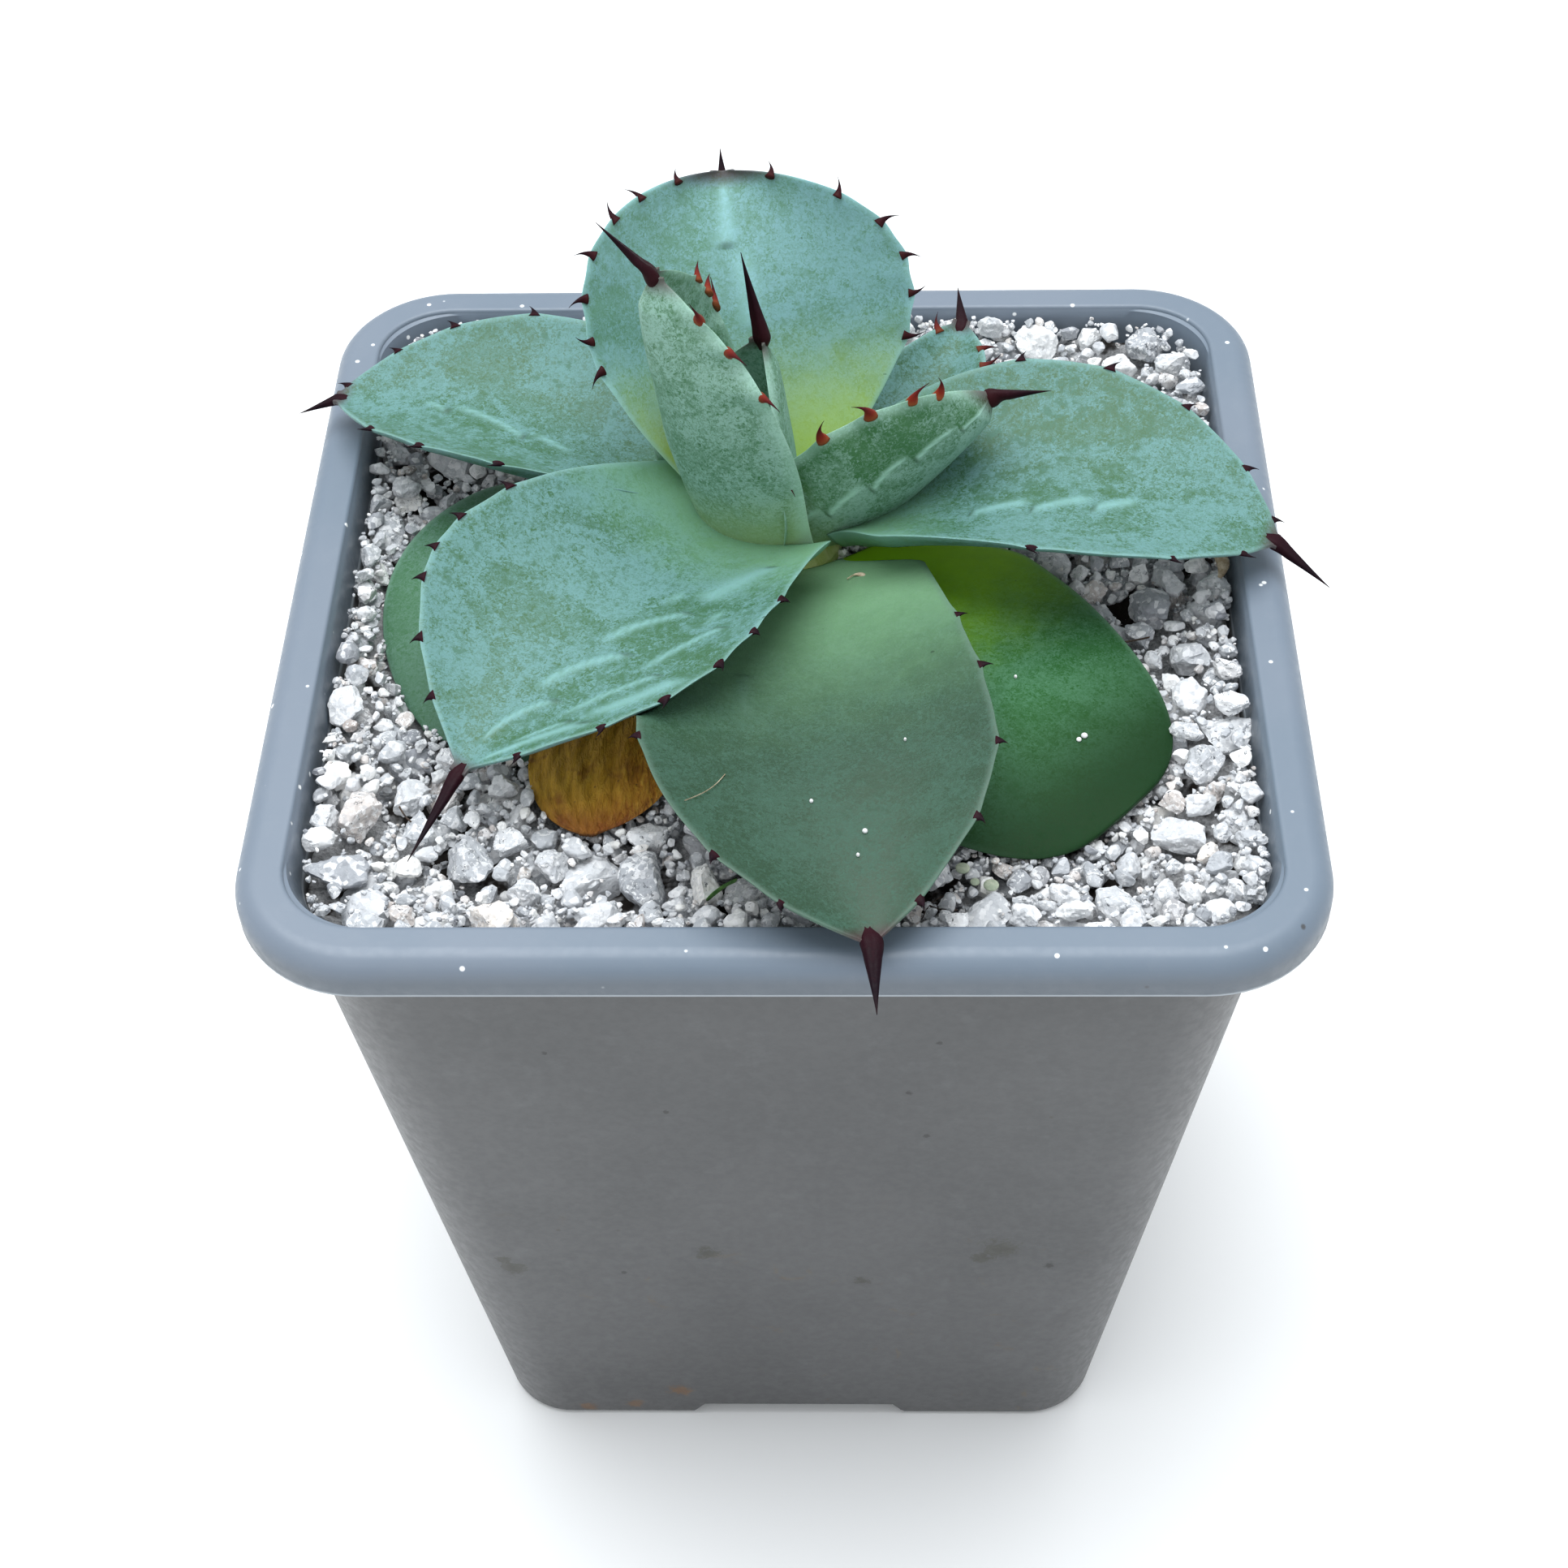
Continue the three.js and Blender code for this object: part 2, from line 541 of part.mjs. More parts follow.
// ---------- stem and roots ----------
function stemSolid(grow = 0) {
  const top = GRIT_LEVEL + STEM_CROWN;
  const profile = [
    [0, GRIT_LEVEL - NECK_DEPTH - grow],
    [NECK_TIP + grow, GRIT_LEVEL - NECK_DEPTH - grow],
    [NECK_RADIUS + grow, GRIT_LEVEL - GRIT_DEPTH],
    [STEM_RADIUS + grow, GRIT_LEVEL - STEM_FLARE],
    [STEM_RADIUS + grow, GRIT_LEVEL + STEM_SHOULDER],
    [STEM_RADIUS * STEM_TAPER + grow, top - STEM_SHOULDER],
    [STEM_RADIUS * STEM_CAP + grow, top + grow],
    [0, top + grow],
  ].map(([x, y]) => new THREE.Vector2(x, y));
  const lathe = new THREE.LatheGeometry(profile, 20);
  lathe.rotateX(Math.PI / 2);
  lathe.translate(STEM_X, STEM_Y, 0);
  let stem = solidFromGeometry(lathe);
  for (let i = 0; i < ROOT_COUNT; i += 1) {
    const root = new THREE.CylinderGeometry(
      ROOT_TIP + grow, ROOT_RADIUS + grow, ROOT_LENGTH + 2 * grow, 8,
    );
    root.translate(0, ROOT_LENGTH / 2, 0);
    root.rotateX(Math.PI / 2);
    root.rotateY(Math.PI / 2 + radians(ROOT_DIP));
    root.rotateZ((2 * Math.PI * i) / ROOT_COUNT);
    root.translate(STEM_X, STEM_Y, GRIT_LEVEL - GRIT_DEPTH - ROOT_DROP);
    stem = stem.add(solidFromGeometry(root));
  }
  return stem;
}

// ---------- top dressing and loose stones ----------
function dressingSolid() {
  const low = GRIT_LEVEL - GRIT_DEPTH;
  return loft([cavityRing(low, CLEARANCE), cavityRing(DRESSING_TOP, CLEARANCE)]);
}

// Loose stone: a rough, flattened lump that lies on the dressing at x, y.
function stoneSolid(x, y, size, draw) {
  const lump = new THREE.IcosahedronGeometry(1, 0);
  const merged = mergeVertices(new THREE.BufferGeometry().setAttribute(
    "position", lump.getAttribute("position"),
  ), 1e-4);
  const position = merged.attributes.position;
  let lowest = 0;
  for (let i = 0; i < position.count; i += 1) {
    const swell = size * mix(0.9, 1.15, draw());
    const z = position.getZ(i) * swell * STONE_FLATNESS;
    position.setXYZ(i, position.getX(i) * swell, position.getY(i) * swell * STONE_BREADTH, z);
    lowest = Math.min(lowest, z);
  }
  merged.rotateZ(draw() * Math.PI);
  merged.translate(x, y, DRESSING_TOP + CLEARANCE - lowest);
  return solidFromGeometry(merged);
}

// Stones clear of the leaves: share of the half opening across and along, and size factor.
const STONES = [
  ["left", -0.97, -0.78, 1.1], ["left", -0.95, -0.62, 1.0], ["left", -0.97, -0.46, 0.9],
  ["left", -0.98, -0.31, 0.8], ["left", -0.78, -0.8, 0.9], ["left", -0.98, 0.32, 0.8],
  ["right", 0.97, -0.8, 1.1], ["right", 0.95, -0.63, 1.1], ["right", 0.97, -0.46, 0.95],
  ["right", 0.96, -0.3, 0.9], ["right", 0.8, -0.8, 0.9], ["right", 0.97, 0.42, 0.9],
  ["right", 0.95, 0.58, 1.0], ["right", 0.97, 0.74, 0.9], ["right", 0.78, 0.72, 0.95],
  ["back", 0.9, 0.95, 0.9], ["back", 0.73, 0.96, 1.0], ["back", 0.55, 0.97, 0.9],
  ["back", 0.37, 0.96, 0.9], ["back", 0.18, 0.97, 0.85], ["back", -0.02, 0.97, 0.9],
  ["back", -0.3, 0.96, 1.0], ["back", -0.5, 0.97, 0.9], ["back", -0.68, 0.96, 1.0],
  ["back", -0.87, 0.94, 0.9],
  ["front", -0.8, -0.97, 1.0], ["front", -0.61, -0.95, 1.1], ["front", -0.42, -0.97, 0.95],
  ["front", -0.25, -0.97, 0.9], ["front", 0.36, -0.97, 1.0],
  ["front", 0.54, -0.96, 1.1], ["front", 0.73, -0.97, 1.0], ["front", 0.45, -0.78, 0.9],
];

// ---------- assembly ----------
const plant = new THREE.Group();
addMesh(plant, "pot", makePot(), POT_PLASTIC);

const trunk = stemSolid();
const trunkSpace = stemSolid(CLEARANCE);
addMesh(plant, "stem", trunk, STEM_GREEN);

const soil = potCavity(FLOOR + CLEARANCE, SOIL_LEVEL, CLEARANCE).subtract(trunkSpace);
addMesh(plant, "potting_mix", largestBody(soil), POTTING_MIX);

// Younger leaves keep their shape, and each older one gives way to them and to the stem.
let taken = trunkSpace;
let dressing = dressingSolid().subtract(trunkSpace);
for (const leaf of LEAVES) {
  const solid = largestBody(leafSolid(leaf).subtract(taken));
  const swollen = leafSolid(leaf, CLEARANCE);
  taken = taken.add(swollen);
  dressing = dressing.subtract(swollen);
  const material = leaf.dead ? DEAD_LEAF : leaf.dark ? LEAF_DARK : LEAF_GREEN;
  addMesh(plant, leaf.name, solid, material);
}
addMesh(plant, "pumice_dressing", largestBody(dressing), PUMICE);

const draw = randomStream(71);
const counts = {};
for (const [side, across, along, factor] of STONES) {
  counts[side] = (counts[side] ?? 0) + 1;
  const size = STONE_SIZE * factor;
  const reach = INNER_WIDTH / 2 - STONE_SPREAD * size - CLEARANCE;
  const stone = stoneSolid(across * reach, along * reach, size, draw);
  addMesh(plant, `stone_${side}_${counts[side]}`, stone, PUMICE);
}

export default plant;
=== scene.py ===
"""Potted agave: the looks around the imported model. Millimetres until a mesh is made, +Z up."""

import math
import random

import bmesh
import bpy
import numpy as np
from mathutils import Matrix, Vector, noise
from mathutils.bvhtree import BVHTree


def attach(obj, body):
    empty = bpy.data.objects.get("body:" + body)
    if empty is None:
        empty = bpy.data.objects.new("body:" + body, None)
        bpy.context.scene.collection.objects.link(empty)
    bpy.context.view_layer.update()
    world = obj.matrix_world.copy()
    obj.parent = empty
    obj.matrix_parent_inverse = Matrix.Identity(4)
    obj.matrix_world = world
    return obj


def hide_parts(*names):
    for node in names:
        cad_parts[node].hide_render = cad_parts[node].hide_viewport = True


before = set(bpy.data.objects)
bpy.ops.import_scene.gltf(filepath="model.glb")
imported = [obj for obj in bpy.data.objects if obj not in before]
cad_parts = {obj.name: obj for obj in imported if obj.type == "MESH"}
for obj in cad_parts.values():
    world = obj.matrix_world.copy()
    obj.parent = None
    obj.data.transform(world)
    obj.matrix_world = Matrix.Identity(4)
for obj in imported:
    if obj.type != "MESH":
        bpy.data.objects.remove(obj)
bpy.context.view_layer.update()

MM = 0.001

# ---------- sizes of the model ----------
POT_WIDTH = 110.0
POT_HEIGHT = 110.0
BASE_WIDTH = 75.0
RIM_OVERHANG = 4.6
WALL = 1.4
RIM_DEPTH = 5.2
RIM_LIP = 1.3
RIM_LEDGE = 5.15
RIM_RADIUS = 13.5
INNER_RADIUS = 9.0
BODY_RADIUS_TOP = 11.9
BODY_RADIUS_BASE = 8.4
FOOT_ROUND = 1.2
CHANNEL_WIDTH = 24.0
CHANNEL_SLOPE = 2.0
CHANNEL_HEIGHT = 3.0
CHANNEL_REACH = 16.0
DRAIN_DIAMETER = 6.0
FLOOR = 1.8
GRIT_LEVEL = POT_HEIGHT - 5.0
DUST_LEVEL = GRIT_LEVEL - 3.6  # dust and mix between the stones
BED = GRIT_LEVEL - 4.6  # what the lowest stones lie on
LOWEST_LEAF = GRIT_LEVEL - 8
DEEP = GRIT_LEVEL - 12  # under every leaf and stone
SKIRT_HEIGHT = POT_HEIGHT - RIM_DEPTH
BODY_TOP_WIDTH = POT_WIDTH - 2 * RIM_OVERHANG
INNER_WIDTH = POT_WIDTH - 2 * RIM_LEDGE
STEM = (-0.5, 12.0)
SPINE_RADIUS = 1.0  # half width of a leaf at its tip
BELLY = 1.3  # how late a leaf widens
SLIM = 0.2  # a leaf thins where it is narrower than this share of its width


# ---------- mesh helpers ----------
def make_object(name, points, faces, material, sharp=None, fields=None, uv=None):
    """A mesh object from points in millimetres. fields are float attributes, one value a point."""
    me = bpy.data.meshes.new(name)
    me.from_pydata((np.asarray(points) * MM).tolist(), [], [tuple(f) for f in faces])
    me.polygons.foreach_set("use_smooth", np.full(len(me.polygons), True))
    for key, values in (fields or {}).items():
        layer = me.attributes.new(key, "FLOAT", "POINT")
        layer.data.foreach_set("value", np.asarray(values, dtype=np.float32))
    if uv is not None:
        layer = me.uv_layers.new(name="OFBake")
        layer.data.foreach_set("uv", np.asarray(uv, dtype=np.float32).ravel())
    me.update()
    if sharp:
        me.set_sharp_from_angle(angle=math.radians(sharp))
    ob = bpy.data.objects.new(name, me)
    bpy.context.scene.collection.objects.link(ob)
    if material:
        me.materials.append(material)
    return ob


def piece(ob, slot, *nodes):
    """Puts an object on the body, in place of these CAD nodes.
    The slot argument is not used.
    """
    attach(ob, "root")
    if nodes:
        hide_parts(*nodes)
    return ob


def mix(a, b, t):
    return a + (b - a) * t


def smooth_step(low, high, x):
    t = np.clip((np.asarray(x, float) - low) / (high - low), 0, 1)
    return t * t * (3 - 2 * t)


# ---------- material helpers ----------
class Nodes:
    """Builds a node material, one call a node. Patterns are measured in millimetres."""

    def __init__(self, name):
        self.material = bpy.data.materials.new(name)
        self.material.use_nodes = True
        self.tree = self.material.node_tree
        self.tree.nodes.clear()
        self.shader = self.new("BsdfPrincipled")
        self.new("OutputMaterial", self.shader.outputs[0])
        scale = self.new("VectorMath", self.new("TexCoord").outputs["Object"])
        scale.operation = "SCALE"
        scale.inputs["Scale"].default_value = 1 / MM
        self.place = scale.outputs[0]

    def feed(self, socket, value):
        if isinstance(value, bpy.types.NodeSocket):
            self.tree.links.new(value, socket)
        elif socket.type == "RGBA":
            socket.default_value = (*value, 1)
        else:
            socket.default_value = value

    def new(self, kind, *values, **named):
        """A node with its first inputs fed in order, and others by name, _ for a space."""
        n = self.tree.nodes.new("ShaderNode" + kind)
        for socket, value in zip(n.inputs, values):
            self.feed(socket, value)
        for key, value in named.items():
            self.feed(n.inputs[key.replace("_", " ")], value)
        return n

    def noise(self, scale, detail=3, rough=0.5, distort=0.0, at=None):
        n = self.new("TexNoise", Vector=at or self.place, Scale=scale, Detail=detail,
                     Roughness=rough, Distortion=distort)
        return n.outputs["Fac"]

    def cells(self, scale, at=None):
        return self.new("TexVoronoi", Vector=at or self.place, Scale=scale).outputs["Distance"]

    def chips(self, scale):
        """A random value for each cell of a broken-up pattern."""
        n = self.new("TexVoronoi", Vector=self.place, Scale=scale)
        return self.new("SeparateColor", n.outputs["Color"]).outputs[0]

    def field(self, name):
        n = self.new("Attribute")
        n.attribute_name = name
        return n.outputs["Fac"]

    def vector(self, operation, other):
        n = self.new("VectorMath", self.place, other)
        n.operation = operation
        return n.outputs

    def shifted(self, *offset):
        return self.vector("ADD", offset)[0]

    def stretched(self, *factors):
        return self.vector("MULTIPLY", factors)[0]

    def height(self):
        return self.new("SeparateXYZ", self.place).outputs[2]

    def math(self, operation, a, b, clamp=False):
        n = self.new("Math", a, b)
        n.operation = operation
        n.use_clamp = clamp
        return n.outputs[0]

    def plus(self, a, b, clamp=False):
        return self.math("ADD", a, b, clamp)

    def minus(self, a, b):
        return self.math("SUBTRACT", a, b)

    def times(self, a, b):
        return self.math("MULTIPLY", a, b)

    def span(self, value, low, high, to_low=0.0, to_high=1.0):
        """Smooth step of a value: to_low at low, to_high at high."""
        n = self.new("MapRange", value, low, high, to_low, to_high)
        n.interpolation_type = "SMOOTHSTEP"
        return n.outputs[0]

    def near(self, centre, radius, ragged):
        """1 within a ragged radius of a place, 0 outside it."""
        reach = self.plus(self.vector("DISTANCE", centre)["Value"], self.times(ragged, radius * 4))
        return self.span(reach, radius * 0.6, radius * 1.35, 1.0, 0.0)

    def blend(self, share, a, b):
        n = self.new("Mix")
        n.data_type = "RGBA"
        for k, value in ((0, share), (6, a), (7, b)):
            self.feed(n.inputs[k], value)
        return n.outputs[2]

    def ramp(self, value, stops):
        n = self.new("ValToRGB", value)
        elements = n.color_ramp.elements
        while len(elements) < len(stops):
            elements.new(0.5)
        for element, (at, colour) in zip(elements, stops):
            element.position = at
            element.color = (*colour, 1)
        return n.outputs[0]

    def bump(self, height, distance, strength):
        n = self.new("Bump", Height=height, Strength=strength, Distance=distance * MM)
        return n.outputs[0]

    def finish(self, colour, roughness, normal=None, **settings):
        if normal:
            settings["Normal"] = normal
        for key, value in (("Base_Color", colour), ("Roughness", roughness), *settings.items()):
            self.feed(self.shader.inputs[key.replace("_", " ")], value)
        return self.material


# ---------- pot ----------
CORNER_STEPS = 16
SIDE_STEPS = 10


def square_ring(width, radius, z):
    """A level square ring with round corners, evenly stepped along its sides as well."""
    inset = width / 2 - radius
    ring = []

    def corner_point(corner, turn):
        cx = inset * (1 if corner % 4 in (0, 3) else -1)
        cy = inset * (1 if corner % 4 in (0, 1) else -1)
        return np.array((cx + radius * math.cos(turn), cy + radius * math.sin(turn), z))

    for corner in range(4):
        start = corner * math.pi / 2
        for k in range(CORNER_STEPS + 1):
            ring.append(corner_point(corner, start + k / CORNER_STEPS * math.pi / 2))
        tail, ahead = ring[-1], corner_point(corner + 1, start + math.pi / 2)
        ring += [mix(tail, ahead, k / SIDE_STEPS) for k in range(1, SIDE_STEPS)]
    return np.array(ring)


def body_width(z):
    return mix(BASE_WIDTH, BODY_TOP_WIDTH, z / SKIRT_HEIGHT)


def body_radius(z):
    return mix(BODY_RADIUS_BASE, BODY_RADIUS_TOP, z / SKIRT_HEIGHT)


def loft(rings):
    """A closed body through rings of as many points each: its points and faces."""
    count, last = len(rings[0]), len(rings) - 1
    faces = []
    for r in range(last):
        for i in range(count):
            a, b = r * count + i, r * count + (i + 1) % count
            faces.append((a, b, b + count, a + count))
    faces.append(tuple(reversed(range(count))))
    faces.append(tuple(last * count + i for i in range(count)))
    return np.concatenate(rings), faces


def cut(ob, cutter):
    modifier = ob.modifiers.new("cut", "BOOLEAN")
    modifier.operation = "DIFFERENCE"
    modifier.solver = "EXACT"
    modifier.object = cutter
    with bpy.context.temp_override(object=ob, active_object=ob, selected_objects=[ob]):
        bpy.ops.object.modifier_apply(modifier=modifier.name)
    bpy.data.objects.remove(cutter, do_unlink=True)


def make_pot(material):
    def rim(inset, z):
        return square_ring(POT_WIDTH - 2 * inset, RIM_RADIUS - inset, z)

    def body(z, inset=0.0):
        return square_ring(body_width(z) - 2 * inset, body_radius(z) - inset, z)

    def inner(z):
        if z <= SKIRT_HEIGHT:
            return body(z, WALL)
        t = (z - SKIRT_HEIGHT) / RIM_DEPTH
        wall = BODY_TOP_WIDTH - 2 * WALL
        radius = mix(BODY_RADIUS_TOP - WALL, INNER_RADIUS, t)
        return square_ring(mix(wall, INNER_WIDTH, t), radius, z)

    rings = []
    for k in range(5):  # rounded foot
        turn = k / 4 * math.pi / 2
        z = FOOT_ROUND * (1 - math.cos(turn))
        rings.append(body(z, FOOT_ROUND * (1 - math.sin(turn))))
    rings += [body(z) for z in np.linspace(8, SKIRT_HEIGHT - 1, 12)]
    under = POT_HEIGHT - 2.6
    rings.append(square_ring(BODY_TOP_WIDTH + 0.2, BODY_RADIUS_TOP, under - 0.6))
    rings.append(square_ring(BODY_TOP_WIDTH + 1.2, BODY_RADIUS_TOP + 0.4, under))
    # The hollow behind the skirt, the skirt's lower edge and the ridge above it.
    for inset, z in ((RIM_LIP + 0.9, under), (RIM_LIP + 0.4, under - 0.5),
                     (RIM_LIP + 0.2, SKIRT_HEIGHT + 0.15), (RIM_LIP, SKIRT_HEIGHT),
                     (0.42, SKIRT_HEIGHT), (0.26, SKIRT_HEIGHT + 0.12),
                     (0.22, SKIRT_HEIGHT + 0.45), (0.05, SKIRT_HEIGHT + 0.75)):
        rings.append(rim(inset, z))
    for k in range(9):  # rolled outer edge
        turn = k / 8 * math.pi / 2
        rings.append(rim(2.3 * (1 - math.cos(turn)), POT_HEIGHT - 2.5 + 2.5 * math.sin(turn)))
    rings += [rim(inset, POT_HEIGHT) for inset in (2.45, RIM_LEDGE - 0.7, RIM_LEDGE - 0.5)]
    for k in range(1, 5):  # inner edge
        turn = k / 4 * math.pi / 2
        inset = RIM_LEDGE - 0.5 + 0.45 * math.sin(turn)
        rings.append(rim(inset, POT_HEIGHT - 0.45 * (1 - math.cos(turn))))
    heights = (POT_HEIGHT - 0.6, POT_HEIGHT - 1.6, SKIRT_HEIGHT + 1.2, SKIRT_HEIGHT, 96, 80, 50, 20)
    rings += [inner(z) for z in heights]
    rings.append(inner(CHANNEL_HEIGHT + FLOOR))
    pot = make_object("pot_shell", *loft(rings), material)
    for side in range(4):
        turn = Matrix.Rotation(side * math.pi / 2, 4, "Z")
        half, outer = CHANNEL_WIDTH / 2, -BASE_WIDTH / 2 - 3
        reach = -BASE_WIDTH / 2 + CHANNEL_REACH
        section = [
            (-half - CHANNEL_SLOPE - 0.7, -1), (half + CHANNEL_SLOPE + 0.7, -1),
            (half, CHANNEL_HEIGHT), (-half, CHANNEL_HEIGHT),
        ]
        ends = [np.array([(x, y, z) for x, z in section]) for y in (outer, reach)]
        cutter = make_object("channel", *loft(ends), None)
        cutter.data.transform(turn)
        cutter.data.flip_normals()
        cut(pot, cutter)
        centre = -BASE_WIDTH / 2 + CHANNEL_REACH - DRAIN_DIAMETER
        angles = np.linspace(0, 2 * np.pi, 32, endpoint=False)
        circle = np.stack([np.cos(angles), np.sin(angles)], -1) * DRAIN_DIAMETER / 2 + (0, centre)
        drain = [np.insert(circle, 2, z, axis=1) for z in (CHANNEL_HEIGHT - 1, 9.0)]
        cutter = make_object("drain", *loft(drain), None)
        cutter.data.transform(turn)
        cut(pot, cutter)
    pot.data.polygons.foreach_set("use_smooth", np.full(len(pot.data.polygons), True))
    pot.data.set_sharp_from_angle(angle=math.radians(38))
    return pot


# ---------- leaves ----------
# A leaf starts reach and foot from the stem, and its midrib is length long. Heading, sweep, rise,
# roll and aim are degrees; widest and teeth (left, right margin) are shares of the length; width,
# thick and spine are millimetres; cup is a share of the half width. mound stands under each tooth,
# tuck narrows the hidden base up to tuck_end, and the leaf gives way to those it lies under.
USUAL = dict(
    sweep=0, reach=6, shift=0.0, roll=(0, 0), cup=(0, -0.08), horn=0.95, teeth=((), ()), mound=0.3,
    tooth=None, young=0, tuck=1.0, tuck_end=0.2, under=(), look="bloom", skin=None)
LEAVES = {
    "leaf_heart": dict(
        heading=-100, reach=0.8, foot=3, length=13, rise=(86, 86), width=6, widest=0.3, neck=0.8,
        shoulder=1.6, point=0.9, cup=(0.6, 0.6), thick=(2.4, 1.5), spine=4, aim=(-100, 86),
        look="young"),
    "leaf_bud": dict(
        heading=50, reach=3.4, shift=-4.3, foot=3, length=24.4, rise=(86, 94), width=19,
        widest=0.35, neck=0.8, shoulder=1.5, point=0.8, cup=(0.8, 0.95), thick=(2.6, 1.6),
        spine=9.6, aim=(125, 68), horn=1.05, teeth=((0.4, 0.75), (0.55,)), mound=0.5, tooth=1.9,
        young=0.75, look="young"),
    "leaf_inner_left": dict(
        heading=-162, foot=3.3, length=38.2, rise=(69, 88), roll=(3, 0), width=21, widest=0.4,
        neck=0.84, shoulder=2.2, point=0.8, cup=(0.8, 0.9), thick=(3, 2), spine=8.4, aim=(180, 50),
        horn=1.05, teeth=((0.69, 0.83, 0.92), (0.6, 0.68, 0.77)), mound=1.5, tooth=2.3, young=0.7,
        look="young"),
    "leaf_inner_right": dict(
        heading=-15, sweep=46, reach=1, foot=2, length=28.7, rise=(34, 40), roll=(-43, -56),
        width=26, widest=0.4, neck=0.9, shoulder=2.1, point=0.7, cup=(0.3, 0.55), thick=(3.4, 2),
        spine=6.5, aim=(-10, 12), horn=1.35, teeth=((0.5, 0.7), (0.2, 0.48, 0.67, 0.81, 0.89)),
        mound=1.3, tooth=2.4, young=1.0, look="young"),
    "leaf_back": dict(
        heading=113, sweep=-17, reach=5, foot=3.9, length=36.5, rise=(66, 44), roll=(2, 2),
        width=36, widest=0.58, neck=0.44, shoulder=2.3, point=0.71, cup=(0.3, 0.6), thick=(4.5, 2),
        spine=2.5, aim=(96, 44),
        teeth=((0.47, 0.55, 0.66, 0.77, 0.86, 0.92, 0.97), (0.42, 0.55, 0.67, 0.78, 0.88, 0.97)),
        mound=0.45, tooth=1.45, young=0.06, look="back"),
    "leaf_right": dict(
        heading=-1, sweep=-20, foot=3.7, length=50.7, rise=(27.5, -17), roll=(-1, 0), width=32.6,
        widest=0.48, neck=0.52, shoulder=2.05, point=0.87, cup=(0.45, 0.14), thick=(4.5, 2),
        spine=7.5, aim=(-42, -17), tuck=0.6, tuck_end=0.16,
        teeth=((0.4, 0.57, 0.73, 0.88, 0.97), (0.5, 0.8, 0.94))),
    "leaf_front_left": dict(
        heading=-130, sweep=7, foot=5.6, length=49, rise=(17, -13), roll=(-1, 0), width=36,
        widest=0.53, neck=0.6, shoulder=2.1, point=1.15, cup=(0.42, 0.32), thick=(4.5, 2.2),
        spine=11, aim=(-114, -13), horn=0.85,
        teeth=((0.31, 0.44, 0.56, 0.69, 0.8, 0.92), (0.4, 0.53, 0.62, 0.69, 0.8, 0.89))),
    "leaf_left": dict(
        heading=156, sweep=14, reach=5, foot=2.6, length=51, rise=(18.5, -6), roll=(6, 1), width=29,
        widest=0.49, neck=0.5, shoulder=2.2, point=0.85, cup=(0.5, 0.3), thick=(4.2, 2), spine=4.5,
        aim=(-158, -9), tuck=0.4, tuck_end=0.25,
        teeth=((0.5, 0.7, 0.85), (0.62, 0.78, 0.89, 0.98))),
    "leaf_back_right": dict(
        heading=35, sweep=40, foot=0.8, length=30, rise=(25, 17.5), roll=(1, 2), width=14,
        widest=0.44, neck=0.6, shoulder=2.1, point=0.82, cup=(0.47, 0.4), thick=(3.2, 1.8), spine=5,
        aim=(95, 18), teeth=((0.93,), (0.8, 0.88)), tooth=1.8, young=0.4),
    "leaf_front": dict(
        heading=-88, sweep=13, foot=0.9, length=63.3, rise=(22.5, -9), roll=(0, -2), width=35.7,
        widest=0.58, neck=0.8, shoulder=2.27, point=0.88, cup=(0.24, 0.24), thick=(4.4, 2.2),
        spine=7.7, aim=(-87, -9), horn=1.15, tuck=0.45, tuck_end=0.12, under=("leaf_front_left",),
        teeth=((0.34, 0.5, 0.69, 0.83, 0.95), (0.45, 0.59, 0.83, 0.92)), look="front"),
    "leaf_dead": dict(
        heading=-130, sweep=38, foot=1.2, length=45, rise=(7, -8), roll=(0, 6), width=17,
        widest=0.74, neck=0.5, shoulder=1.9, point=0.62, cup=(0.1, -0.2), thick=(1.6, 1), spine=1,
        aim=(-95, 0), look="dead", under=("leaf_front_left", "leaf_front")),
    "leaf_low_left": dict(
        heading=-151, sweep=19, foot=0, length=42.6, rise=(13, -17), width=52, widest=0.45,
        neck=0.5, shoulder=2.2, point=0.74, thick=(3.6, 1.6), spine=2, aim=(-132, -17), look="low",
        under=("leaf_front_left", "leaf_left", "leaf_dead"), skin="low_left"),
    "leaf_low_right": dict(
        heading=-56.7, sweep=15, foot=0, length=50.5, rise=(13, -11), width=40, widest=0.3,
        neck=0.52, shoulder=2.2, point=0.32, thick=(3.6, 1.6), spine=2, aim=(-47, -17), look="low",
        under=("leaf_front", "leaf_right")),
}
LEAVES = {name: {**USUAL, **own} for name, own in LEAVES.items()}
BETWEEN = 0.35  # gap between a leaf and the younger one lying over it
ROWS = 150
COLUMNS = 84
FINE = 600  # steps of the midrib's integration


def unit(heading, rise):
    h, r = np.radians(heading), np.radians(rise)
    return np.stack([np.cos(r) * np.cos(h), np.cos(r) * np.sin(h), np.sin(r) + 0 * h], -1)


